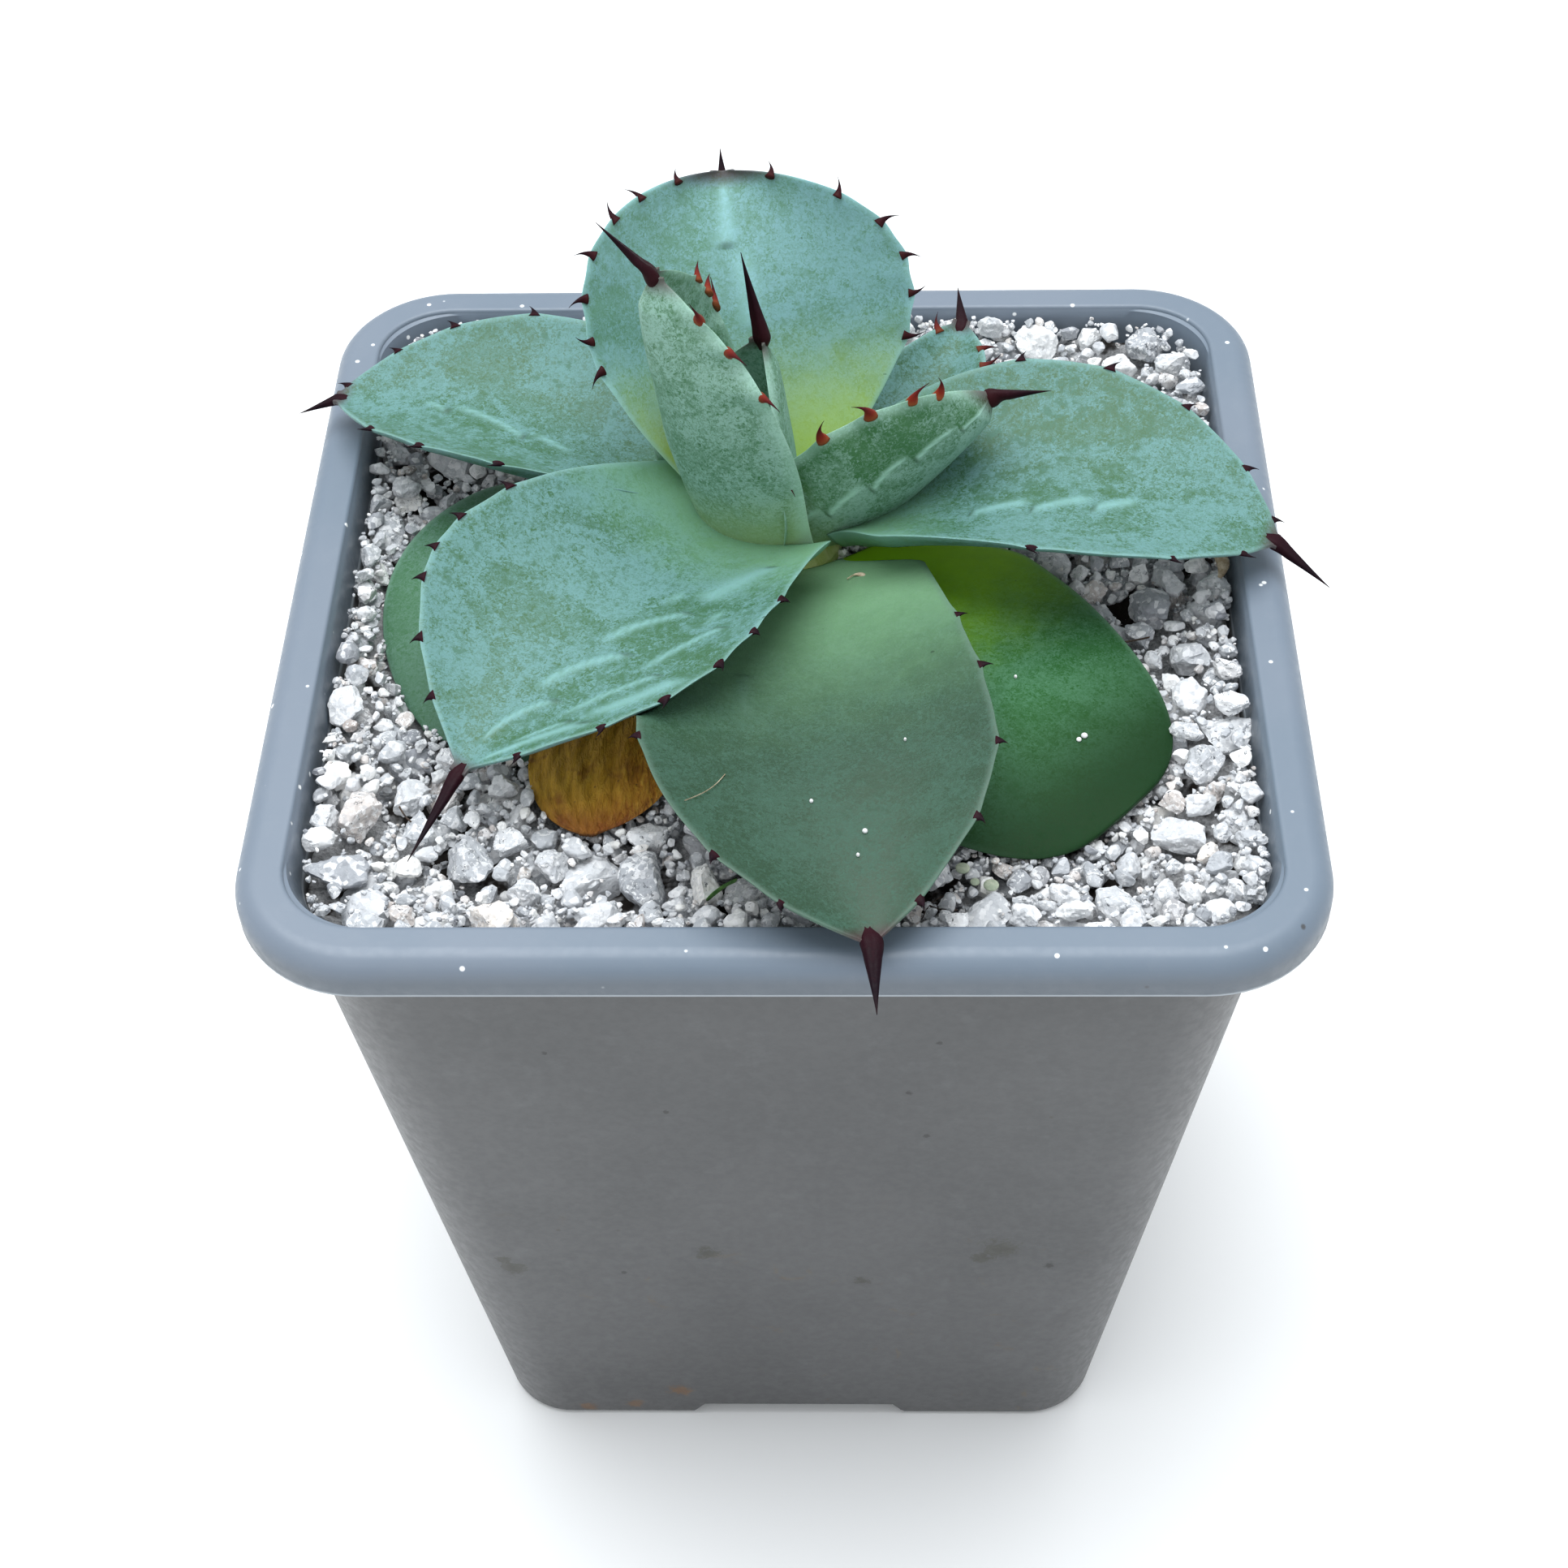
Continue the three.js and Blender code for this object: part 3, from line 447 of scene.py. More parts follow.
class Blade:
    """The blade's middle surface: frames along the midrib and the half width."""

    def __init__(self, leaf):
        self.leaf = leaf
        s = np.linspace(0, 1, FINE + 1)
        heading = leaf["heading"] + leaf["sweep"] * s
        rise = mix(*leaf["rise"], s)
        roll = np.radians(mix(*leaf["roll"], s))[:, None]
        self.s = s
        self.tangent = unit(heading, rise)
        level = unit(heading + 90, 0 * s)
        normal = np.cross(self.tangent, level)
        self.left = level * np.cos(roll) + normal * np.sin(roll)
        self.up = np.cross(self.tangent, self.left)
        steps = (self.tangent[1:] + self.tangent[:-1]) / 2 * leaf["length"] / FINE
        start = np.array([*STEM, GRIT_LEVEL + leaf["foot"]])
        start = start + leaf["reach"] * unit(np.float64(leaf["heading"]), np.float64(0))
        start = start + (leaf["shift"], 0, 0)
        self.middle = np.concatenate([start[None], start + np.cumsum(steps, 0)])

    def at(self, table, s):
        return np.stack([np.interp(s, self.s, table[:, k]) for k in range(3)], -1)

    def half(self, s, side=0):
        leaf = self.leaf
        s = np.asarray(s, float)
        half = leaf["width"] / 2
        rise = np.sin(np.pi / 2 * np.clip(s / leaf["widest"], 0, 1)) ** BELLY
        t = np.clip((s - leaf["widest"]) / (1 - leaf["widest"]), 0, 1)
        wide = np.where(
            s < leaf["widest"],
            half * mix(leaf["neck"], 1, rise),
            half * (1 - t ** leaf["shoulder"]) ** leaf["point"],
        )
        # Out of sight the base is drawn in, so that it stays under the younger leaves.
        tucked = mix(leaf["tuck"], 1.0, smooth_step(0.0, leaf["tuck_end"], s))
        wide = np.maximum(wide * tucked, SPINE_RADIUS)
        if side:
            teeth = leaf["teeth"][0 if side > 0 else 1]
            spread = 1.7 / leaf["length"]
            for place in teeth:
                wide = wide + leaf["mound"] * np.exp(-(((s - place) / spread) ** 2))
        return wide

    def point(self, s, across):
        """Point on the middle surface; across runs from -1, the right margin, to 1."""
        s, across = np.broadcast_arrays(np.asarray(s, float), np.asarray(across, float))
        half = self.half(s)
        mound = np.where(across > 0, self.half(s, 1), self.half(s, -1)) - half
        lift = mix(*self.leaf["cup"], s) * half * across**2
        side = across * half + np.sign(across) * mound * np.abs(across) ** 7
        return (
            self.at(self.middle, s)
            + self.at(self.left, s) * side[..., None]
            + self.at(self.up, s) * lift[..., None]
        )


def print_mark(s, across, low, high, start, end, scallop, count, phase, width=0.03):
    """A chain of arcs that a younger leaf's margin pressed into the blade.

    Across goes from low to high over start to end. Returns the pale line, the short dark nick at
    each arc's end, and the rubbed side beyond the line."""
    t = np.clip((s - start) / (end - start), 0, 1)
    turn = ((1 - t) * count + phase) % 1.0
    line = mix(low, high, t) + scallop * turn**2.2
    window = smooth_step(start, start + 0.04, s) * (1 - smooth_step(end - 0.04, end, s))
    strength = smooth_step(0, 0.25, turn) * (1 - smooth_step(0.93, 1, turn)) * 0.75 + 0.25
    pale = np.exp(-(((across - line) / width) ** 2)) * window * strength
    nick = np.exp(-(((across - line) / 0.05) ** 2) - ((turn - 0.97) / 0.05) ** 2) * window
    return pale, nick, smooth_step(-0.02, 0.03, across - line) * window


# Marks on each leaf's upper and lower side: low, high, start, end, scallop, arcs, phase, width.
PRINTS = {
    "leaf_front_left": (
        [(0.22, -0.02, 0.3, 0.93, 0.22, 3.4, 0.0, 0.035),
         (0.62, 0.42, 0.34, 0.9, 0.16, 3.0, 0.4), (0.84, 0.5, 0.6, 0.97, 0.1, 1.6, 0.2, 0.09),
         (0.5, 0.4, 0.12, 0.34, 0.2, 1.0, 0.1, 0.1)], []),
    "leaf_back": ([(-0.12, 0.0, 0.5, 0.97, 0.08, 1.6, 0.3, 0.07)], []),
    "leaf_right": ([(-0.3, -0.1, 0.3, 0.7, -0.12, 3.0, 0.2, 0.05)], []),
    "leaf_left": ([(0.2, -0.1, 0.4, 0.8, 0.1, 2.0, 0.6)], []),
    "leaf_front": ([(-0.42, -0.35, 0.38, 0.52, 0.08, 1.0, 0.1)], []),
    "leaf_inner_right": ([], [(0.6, 0.55, 0.06, 0.99, -0.1, 5.0, 0.15, 0.024)]),
    "leaf_inner_left": ([], [(0.05, 0.25, 0.2, 0.9, 0.1, 3.0, 0.3, 0.025)]),
}


def tree_of(obs):
    """Search tree of these objects, in millimetres."""
    points, faces, start = [], [], 0
    for ob in obs:
        got = np.empty(len(ob.data.vertices) * 3)
        ob.data.vertices.foreach_get("co", got)
        points.append(got.reshape(-1, 3) / MM)
        faces += [[start + v for v in f.vertices] for f in ob.data.polygons]
        start += len(ob.data.vertices)
    return BVHTree.FromPolygons(np.concatenate(points).tolist(), faces)


def overlap_drop(points, tree):
    """How far each point must drop to lie under the leaf above or through it."""
    drops = []
    for x, y, z in points:
        hit = tree.ray_cast(Vector((x, y, DEEP)), Vector((0, 0, 1)))[0]
        drops.append(0.0 if hit is None else max(0.0, z - hit.z + BETWEEN))
    return np.array(drops)


def blade_mesh(name, leaf, material, over):
    blade = Blade(leaf)
    s = np.linspace(0, 1, ROWS + 1)
    s = 1 - (1 - s) ** 1.12
    across = np.sin(np.pi / 2 * np.linspace(-1, 1, COLUMNS + 1))
    S, A = np.meshgrid(s, across, indexing="ij")
    middle = blade.point(S, A)
    up = blade.at(blade.up, s)[:, None]
    half = blade.half(s)
    slim = np.clip(half / (leaf["width"] * SLIM), 0, 1)
    thick = np.maximum(mix(*leaf["thick"], s) * slim, 0.7)
    edge = 0.32 if leaf["look"] != "dead" else 0.2
    round_off = np.sqrt(np.clip(1 - A**10, 0, 1))
    rng = np.random.default_rng(abs(int(leaf["heading"] * 7)) + 5)
    waves = np.zeros_like(A)
    amount = {"dead": 1.3, "low": 0.35}.get(leaf["look"], 0.22)
    for _ in range(7):
        f, g = rng.uniform(2, 9), rng.uniform(-4, 4)
        waves += np.sin(f * S * 2 + g * A + rng.uniform(0, 6.28)) / 7
    fade = np.sin(np.pi * np.clip(S, 0.02, 0.98)) ** 0.5
    ups, downs = PRINTS.get(name, ([], []))
    line, nick, rubbed = np.zeros((3, 2, *A.shape))
    for k, marks in enumerate((ups, downs)):
        for mark in marks:
            pale, nicked, beyond = print_mark(S, -A if k else A, *mark)
            line[k] = np.maximum(line[k], pale)
            nick[k] = np.maximum(nick[k], nicked)
            rubbed[k] = np.maximum(rubbed[k], beyond)
    bend = amount * waves * fade
    if leaf["look"] == "dead":
        bend = bend + (0.2 * np.sin(A * 19 + 3 * np.sin(S * 11)) + 0.12 * np.sin(A * 41 + S * 30)) * fade
    top = edge * round_off + bend + 0.12 * line[0]
    body = (thick[:, None] - 2 * edge) * np.clip(1 - A**2, 0, 1) ** 0.8
    bottom = -edge * round_off - body + bend - 0.1 * line[1]
    upper = middle + up * top[..., None]
    lower = middle + up * bottom[..., None]
    if over:
        drop = overlap_drop(upper.reshape(-1, 3), over).reshape(A.shape)
        upper[..., 2] -= drop
        lower[..., 2] -= drop
    columns = COLUMNS + 1
    # One ring a row: the upper side from right to left, then the lower side back.
    rings = np.concatenate([upper, lower[:, -2:0:-1]], 1)
    rows, count = rings.shape[:2]

    def around(upper_values, lower_values):
        return np.concatenate([upper_values, lower_values[:, -2:0:-1]], 1).ravel()

    fields = {
        "along": around(S, S),
        "across": around(A, A),
        "under": around(np.zeros_like(A), np.ones_like(A)),
        "line": around(*line),
        "nick": around(*nick),
        "rubbed": around(*rubbed),
        "margin": around(*[smooth_step(0.9, 1.0, 1 - (1 - np.abs(A)) * half[:, None] / 9)] * 2),
        "tipward": around(*[(1 - S) * leaf["length"]] * 2),
    }
    # Upper and lower side each take one half of the map.
    step = np.arange(count)
    beneath = 0.51 + (step - columns + 1) * 0.49 / count * 2
    u = np.where(step < columns, step / (columns - 1) * 0.49, beneath)
    loops = []
    for row in range(rows - 1):
        v0, v1 = row / rows, (row + 1) / rows
        for k in range(count):
            u0 = u[k]
            u1 = u[k + 1] if k + 1 < count else u0 + 0.01
            if k == columns - 1:
                u0, u1 = 0.505, 0.515
            loops += [(u0, v0), (u1, v0), (u1, v1), (u0, v1)]
    loops += [(0.999, 0.999)] * (2 * count)
    return make_object(name + "_blade", *loft(rings), material, fields=fields, uv=loops)


HORN_SIDES = 14


def horn_rings(path, left, up, wide, deep, groove=0.0):
    """Rings along a path, oval, with a groove down the upper side."""
    angle = np.linspace(0, 2 * np.pi, HORN_SIDES, endpoint=False)
    rings = []
    for p, w, d in zip(path, wide, deep):
        dip = 1 - groove * np.exp(-(((angle - np.pi / 2) / 0.45) ** 2))
        rings.append(p + left * (w * dip * np.cos(angle))[:, None]
                     + up * (d * dip * np.sin(angle))[:, None])
    return rings


def horn_mesh(name, leaf, material, over):
    """The terminal spine and the margin teeth of one leaf, as closed bodies in one piece."""
    blade = Blade(leaf)
    points, faces, grade, fresh = [], [], [], []

    def add(rings, young):
        start = sum(len(p) for p in points)
        got, quads = loft(rings)
        points.append(got)
        faces.extend(tuple(start + v for v in f) for f in quads)
        for k in range(len(rings)):
            grade.extend([k / (len(rings) - 1)] * HORN_SIDES)
            fresh.extend([young] * HORN_SIDES)

    tip, tangent = blade.middle[-1], blade.tangent[-1]
    left, up = blade.left[-1], blade.up[-1]
    if leaf["look"] not in ("dead", "low"):
        aim = unit(np.float64(leaf["aim"][0]), np.float64(leaf["aim"][1]))
        t = np.linspace(0, 1, 22)
        sunk = 2.2
        ahead = (t * (leaf["spine"] + sunk) - sunk)[:, None]  # negative inside the leaf
        bent = mix(tangent, aim, np.clip(t * 2.6, 0, 1)[:, None])
        curve = tangent * np.minimum(ahead, 0) + bent * np.maximum(ahead, 0)
        base = leaf["horn"] * min(1.0, leaf["spine"] / 6)
        bare = np.clip(ahead[:, 0] / leaf["spine"], 0, 1)
        rounded = 0.3 + 0.7 * smooth_step(0.0, 0.2, t)
        wide = rounded * base * (1 - bare) ** 1.15 + 0.04
        deep = 0.88 * wide
        add(horn_rings(tip + curve, left, up, wide, deep, 0.4), leaf["young"] * 0.04)
    rng = random.Random(int(leaf["length"] * 10))
    for k, side in ((0, 1), (1, -1)):
        for place in leaf["teeth"][k]:
            root = blade.point(place, side)
            if over and overlap_drop([root], over)[0] > 0.1:
                continue
            ahead = blade.point(min(place + 0.02, 1), side) - blade.point(place - 0.02, side)
            along = ahead / np.linalg.norm(ahead)
            out = blade.at(blade.left, np.float64(place)) * side
            out = out + blade.at(blade.up, np.float64(place)) * 0.35
            out = out - along * float(out @ along)
            out /= np.linalg.norm(out)
            third = np.cross(along, out)
            height = (leaf["tooth"] or 1.0) * rng.uniform(0.85, 1.15)
            lean = rng.choice((-1, 1)) if leaf["tooth"] else 1
            broad, sunk = (0.24, 0.7) if height > 1.2 else (0.5, 0.35)
            t = np.linspace(0, 1, 12)
            centre = root + out * (t * (height + sunk) - sunk)[:, None]
            centre = centre + along * (lean * 0.7 * height * t**2.4)[:, None]
            wide = broad * height * (1 - t) ** 1.7 + 0.2 * (1 - t) + 0.03
            deep = 0.17 * height * (1 - t) ** 1.4 + 0.12 * (1 - t) + 0.03
            add(horn_rings(centre, along, third, wide, deep),
                leaf["young"] * rng.uniform(0.75, 1.1))
    if not points:
        return None
    fields = {"grade": grade, "fresh": fresh}
    return make_object(name + "_spines", np.concatenate(points), faces, material, fields=fields)


# ---------- leaf materials ----------
def leaf_material(name, green, bloom, base, cover, rough, reach=0.34, mark=0.45, shade=0.0,
                  gloss=0.36, mottle=1.0, full=0.85, rub=0.12, horned=True):
    """green: bare leaf; bloom: wax; base: colour of the leaf's first part, up to reach along it,
    at share full; cover: share of wax; mark: strength of the pressed lines; shade: how far the
    tip darkens, as painted shade; mottle: strength of the wax's patches; rub: wax lost beyond a
    pressed line."""
    n = Nodes(name)
    cloud = n.noise(0.45, 4, 0.6)
    grain = n.noise(2.4, 3, 0.65, 1.2)
    ragged = n.times(n.minus(grain, 0.5), 0.35)
    patch = n.span(n.plus(n.noise(0.13, 5, 0.6, 0.8), ragged), 0.42, 0.56)
    fleck = n.noise(0.7, 5, 0.7, at=n.shifted(31.0, 7.0, 3.0))
    along, under, rubbed = n.field("along"), n.field("under"), n.field("rubbed")
    wax = n.plus(n.times(patch, 0.4 * mottle), cover - 0.2 * mottle)
    wax = n.plus(wax, n.times(n.minus(cloud, 0.5), 0.7 * mottle))
    wax = n.plus(wax, n.times(n.minus(grain, 0.5), 2.8))
    wax = n.minus(wax, n.times(rubbed, rub))
    wax = n.plus(wax, n.times(under, 0.08), clamp=True)
    colour = n.blend(wax, green, bloom)
    # Bare patches where the wax has rubbed off.
    bare = n.span(n.plus(n.plus(fleck, n.times(rubbed, 0.06)), ragged),
                  0.58, 0.63)
    colour = n.blend(n.times(bare, 0.55 * mottle), colour, green)
    # The first part of the leaf, up to reach, takes the base colour: partly the leaf's own paler base,
    # partly painted light brightening bases that lie in shade under younger leaves.
    young = n.span(n.plus(along, n.times(n.minus(cloud, 0.5), 0.12)),
                   0.02, reach, 1.0, 0.0)
    colour = n.blend(n.times(young, full), colour, base)
    bright = tuple(min(1.0, c * 1.45 + 0.03) for c in bloom)
    colour = n.blend(n.times(n.field("line"), mark), colour, bright)
    colour = n.blend(n.times(n.field("nick"), 0.8), colour, tuple(c * 0.5 for c in green))
    pale = tuple(min(1.0, c * 1.3 + 0.06) for c in bloom)
    colour = n.blend(n.times(n.field("margin"), 0.5), colour, pale)
    specks = n.span(n.noise(0.9, 2, 0.5, at=n.shifted(5.0, 50.0, 9.0)), 0.76, 0.79)
    colour = n.blend(n.times(specks, 0.55), colour, tuple(c * 0.4 for c in green))
    # Painted shade: towards the tip the colour darkens to a deep green, by the share shade.
    if shade:
        colour = n.blend(n.span(along, 0.62, 0.95, 0.0, shade), colour, tuple(c * 0.3 for c in green))
    # The tip browns where it runs into the spine.
    brown = n.span(n.field("tipward"), 0.3, 2.4, 1.0, 0.0)
    if horned:
        colour = n.blend(n.times(brown, 0.85), colour, (0.05, 0.014, 0.02))
    height = n.plus(n.times(grain, 0.08), n.times(cloud, 0.25))
    height = n.minus(height, n.times(n.field("nick"), 0.4))
    normal = n.bump(height, 0.5, 0.4)
    roughness = n.span(wax, 0.0, 1.0, rough - 0.06, rough + 0.12)
    return n.finish(colour, roughness, normal, Specular_IOR_Level=gloss, Subsurface_Weight=0.04,
                    Subsurface_Radius=(0.6 * MM, 1.2 * MM, 0.4 * MM), Subsurface_Scale=1.0)


def dead_material():
    n = Nodes("dead_leaf")
    streak = n.noise(0.9, 6, 0.65, 0.6, at=n.stretched(2.2, 0.6, 1.0))
    patch = n.noise(0.22, 3, 0.6, at=n.shifted(9.0, 2.0, 0.0))
    colour = n.ramp(streak, [(0.28, (0.18, 0.055, 0.005)), (0.45, (0.44, 0.18, 0.018)),
                             (0.6, (0.62, 0.32, 0.035)), (0.8, (0.80, 0.55, 0.12))])
    yellow = n.span(n.field("across"), -0.2, 0.8, 0.6, 0.0)
    colour = n.blend(yellow, colour, (0.58, 0.36, 0.03))
    colour = n.blend(n.span(patch, 0.56, 0.7, 0.0, 0.7), colour, (0.20, 0.06, 0.008))
    colour = n.blend(n.span(n.field("tipward"), 0.5, 6.0, 0.8, 0.0), colour, (0.20, 0.05, 0.008))
    pits = n.span(n.cells(0.7), 0.0, 0.14, 1.0, 0.0)
    colour = n.blend(n.times(pits, 0.8), colour, (0.03, 0.012, 0.006))
    height = n.plus(streak, n.times(patch, 0.6))
    return n.finish(colour, 0.55, n.bump(height, 0.9, 0.9), Specular_IOR_Level=0.35)


def horn_material():
    n = Nodes("horn")
    grade, fresh = n.field("grade"), n.field("fresh")
    old = n.ramp(grade, [(0.0, (0.026, 0.004, 0.008)), (0.3, (0.013, 0.003, 0.006)),
                         (0.75, (0.006, 0.002, 0.005)), (1.0, (0.014, 0.005, 0.007))])
    new = n.ramp(grade, [(0.0, (0.30, 0.09, 0.03)), (0.3, (0.26, 0.028, 0.015)),
                         (0.7, (0.09, 0.012, 0.014)), (1.0, (0.02, 0.005, 0.008))])
    colour = n.blend(fresh, old, new)
    fibre = n.noise(1.6, 3, 0.6, at=n.stretched(1.0, 1.0, 0.5))
    colour = n.blend(n.times(n.span(fibre, 0.5, 0.75), 0.25), colour, (0.04, 0.014, 0.02))
    return n.finish(colour, n.span(fibre, 0.3, 0.7, 0.42, 0.6), n.bump(fibre, 0.2, 0.4),
                    Specular_IOR_Level=0.07)


# ---------- grit ----------
CELL = 0.5  # of the height maps
NEST = 0.86  # stones bed into those below by the rest of this share of their half height
CROWN = 0.9  # share of the half height that counts as a stone's top
LEAF_GAP = 0.25  # kept between a stone and the leaf over it
BURIED = 1.9  # a leaf this far under the dressing's level is covered by stones
HALF_OPENING = BODY_TOP_WIDTH / 2 - WALL - 0.15
OPENING_RADIUS = BODY_RADIUS_TOP - WALL


def wall_distance(x, y):
    """How far inside the pot's wall a place lies."""
    qx = np.abs(x) - (HALF_OPENING - OPENING_RADIUS)
    qy = np.abs(y) - (HALF_OPENING - OPENING_RADIUS)
    outside = np.hypot(np.maximum(qx, 0), np.maximum(qy, 0))
    return OPENING_RADIUS - outside - np.minimum(np.maximum(qx, qy), 0)


def icosphere(level):
    bm = bmesh.new()
    bmesh.ops.create_icosphere(bm, subdivisions=level, radius=1)
    points = np.array([v.co[:] for v in bm.verts])
    faces = np.array([[v.index for v in f.verts] for f in bm.faces])
    bm.free()
    return points, faces


def lump(level, rng, rough):
    """A broken stone about one unit in radius: flat faces cut at random, then a pitted skin."""
    points, faces = icosphere(level)
    points = points.copy()
    for _ in range(rng.randint(8, 13)):
        axis = Vector((rng.gauss(0, 1), rng.gauss(0, 1), rng.gauss(0, 1))).normalized()
        axis = np.array(axis[:])
        limit = rng.uniform(0.48, 0.82)
        beyond = np.maximum(points @ axis - limit, 0)
        points -= 0.95 * beyond[:, None] * axis
    seed = Vector((rng.uniform(0, 90), rng.uniform(0, 90), rng.uniform(0, 90)))
    out = points / np.linalg.norm(points, axis=1)[:, None]
    skin = np.array([
        noise.fractal(Vector(p) * 1.8 + seed, 0.9, 2.1, 4) * 0.12
        + noise.noise(Vector(p) * 7.5 + seed) * 0.06 * rough
        for p in out
    ])
    points += out * skin[:, None]
    return points, faces


def bank(x, y):
    """How far the dressing is heaped up towards the pot's walls, most of all at the back."""
    near = 1 - smooth_step(0.0, 9.0, wall_distance(x, y))
    back = smooth_step(20.0, 46.0, y)
    return near * mix(2.3, 3.4, back) + 0.8 * back


def lay_of_leaves(blades):
    """Height of buried leaf tops, and of the lowest leaf underside above the grit, per cell."""
    tree = tree_of(blades)
    cells = int(2 * HALF_OPENING / CELL) + 1
    steps = np.arange(cells) * CELL - HALF_OPENING
    floor = BED + bank(steps[:, None], steps[None])
    ceiling = np.full((cells, cells), 1e3)
    up = Vector((0, 0, 1))
    for i in range(cells):
        for j in range(cells):
            x, y = -HALF_OPENING + i * CELL, -HALF_OPENING + j * CELL
            z = LOWEST_LEAF
            for _ in range(6):
                hit = tree.ray_cast(Vector((x, y, z)), up)[0]
                if hit is None:
                    break
                if hit.z > GRIT_LEVEL - 0.2:
                    ceiling[i, j] = hit.z
                    break
                over = tree.ray_cast(hit + up * 0.02, up)[0]
                if over is None:
                    break
                floor[i, j] = max(floor[i, j], over.z)
                if over.z > GRIT_LEVEL - BURIED:
                    ceiling[i, j] = over.z
                    break
                z = over.z + 0.02
    return floor, ceiling


def level_at(x, y):
    """The dressing's wavy surface."""
    wave = noise.noise(Vector((x * 0.045, y * 0.045, 3.1))) * 1.1
    wave += noise.noise(Vector((x * 0.16, y * 0.16, 9.1))) * 0.6
    return min(GRIT_LEVEL + 0.35 + wave + float(bank(x, y)), POT_HEIGHT - 0.4)


# Half sizes, tries, places compared for each, mesh level and how far tops may stand proud.
GRADES = [
    (2.5, 3.8, 260, 8, 4, 2.1),
    (1.6, 2.6, 700, 8, 4, 1.6),
    (0.9, 1.6, 2000, 8, 3, 0.9),
    (0.45, 0.9, 5500, 8, 2, 0.4),
    (0.25, 0.45, 7000, 5, 1, 0.4),
]


def settle_grit(floor, ceiling):
    """Drops stones one by one to the lowest of a few places, and returns where each lies."""
    rng = random.Random(4119)
    cells = floor.shape[0]
    laid = []
    for small, large, tries, choices, level, proud in GRADES:
        for _ in range(tries):
            size = small + (large - small) * rng.random() ** 1.5
            shape = (size, size * rng.uniform(0.62, 0.95), size * rng.uniform(0.55, 0.85))
            turn = rng.uniform(0, math.tau)
            best = None
            for _ in range(choices):
                x = rng.uniform(-HALF_OPENING, HALF_OPENING)
                y = rng.uniform(-HALF_OPENING, HALF_OPENING)
                if wall_distance(x, y) < size * 0.6 - 0.3:
                    continue
                i, j = int((x + HALF_OPENING) / CELL), int((y + HALF_OPENING) / CELL)
                r = int(shape[0] / CELL) + 1
                i0, i1 = max(i - r, 0), min(i + r + 1, cells)
                j0, j1 = max(j - r, 0), min(j + r + 1, cells)
                gx = (np.arange(i0, i1) * CELL - HALF_OPENING - x)[:, None]
                gy = (np.arange(j0, j1) * CELL - HALF_OPENING - y)[None]
                c, s = math.cos(turn), math.sin(turn)
                u = ((gx * c + gy * s) / shape[0]) ** 2 + ((gy * c - gx * s) / shape[1]) ** 2
                inside = u < 1
                if not inside.any():
                    inside = np.zeros_like(u, bool)
                    inside[u == u.min()] = True
                cap = shape[2] * np.sqrt(np.clip(1 - u, 0.05, 1))
                z = (floor[i0:i1, j0:j1] + cap * NEST)[inside].max()
                above = z + shape[2] * CROWN - level_at(x, y)
                if best is None or above < best[0]:
                    best = (above, z, x, y, (i0, i1, j0, j1), inside, cap)
            if best is None or best[0] > proud:
                continue
            _, z, x, y, (i0, i1, j0, j1), inside, cap = best
            if z + shape[2] * CROWN > ceiling[i0:i1, j0:j1][inside].min() - LEAF_GAP:
                continue
            window = floor[i0:i1, j0:j1]
            window[inside] = np.maximum(window[inside], (z + cap * CROWN)[inside])
            laid.append((x, y, z, shape, turn, level))
    return laid


FACES_PER_PIECE = 190_000


def grit_pieces(laid, material):
    """The laid stones as joined pieces, by sector round the pot."""
    rng = random.Random(88)
    shapes = {}
    for _, _, _, _, level, _ in GRADES:
        count = {4: 26, 3: 30, 2: 24, 1: 12}[level]
        shapes[level] = [lump(level, rng, 1.0 if level > 2 else 0.5) for _ in range(count)]
    laid = sorted(laid, key=lambda g: math.atan2(g[1], g[0]))
    pieces, batch, held = [], [], 0
    for stone in laid:
        faces = len(shapes[stone[-1]][0][1])
        if held + faces > FACES_PER_PIECE:
            pieces.append(batch)
            batch, held = [], 0
        batch.append(stone)
        held += faces
    pieces.append(batch)
    for k, batch in enumerate(pieces):
        points, faces, tint, kind, uvs = [], [], [], [], []
        start = 0
        side = math.ceil(math.sqrt(len(batch)))
        for index, (x, y, z, shape, turn, level) in enumerate(batch):
            base, tris = rng.choice(shapes[level])
            tilt = Matrix.Rotation(turn, 3, "Z") @ Matrix.Rotation(rng.uniform(-0.35, 0.35), 3, "X")
            spin = Matrix.Rotation(rng.uniform(0, math.tau), 3, "Z")
            local = base @ np.array(spin).T * np.array(shape)
            local = local @ np.array(tilt).T
            points.append(local + (x, y, z))
            faces.append(tris + start)
            start += len(base)
            tint.append(np.full(len(base), rng.random()))
            kind.append(np.full(len(base), rng.random()))
            # Each stone has a cell of the map, its upper and lower faces side by side.
            corner = local[tris]
            lean = np.cross(corner[:, 1] - corner[:, 0], corner[:, 2] - corner[:, 0])[:, 2] < 0
            flat = corner[:, :, :2] / (2.4 * max(shape)) + 0.5
            flat[:, :, 0] = flat[:, :, 0] * 0.5 + 0.5 * lean[:, None]
            cell = np.array([index % side, index // side])
            uvs.append(((np.clip(flat, 0.01, 0.99) + cell) / side).reshape(-1, 2))
        yield make_object(
            f"grit_{k + 1}", np.concatenate(points), np.concatenate(faces).tolist(), material,
            fields={"tint": np.concatenate(tint), "kind": np.concatenate(kind)},
            uv=np.concatenate(uvs), sharp=32,
        )


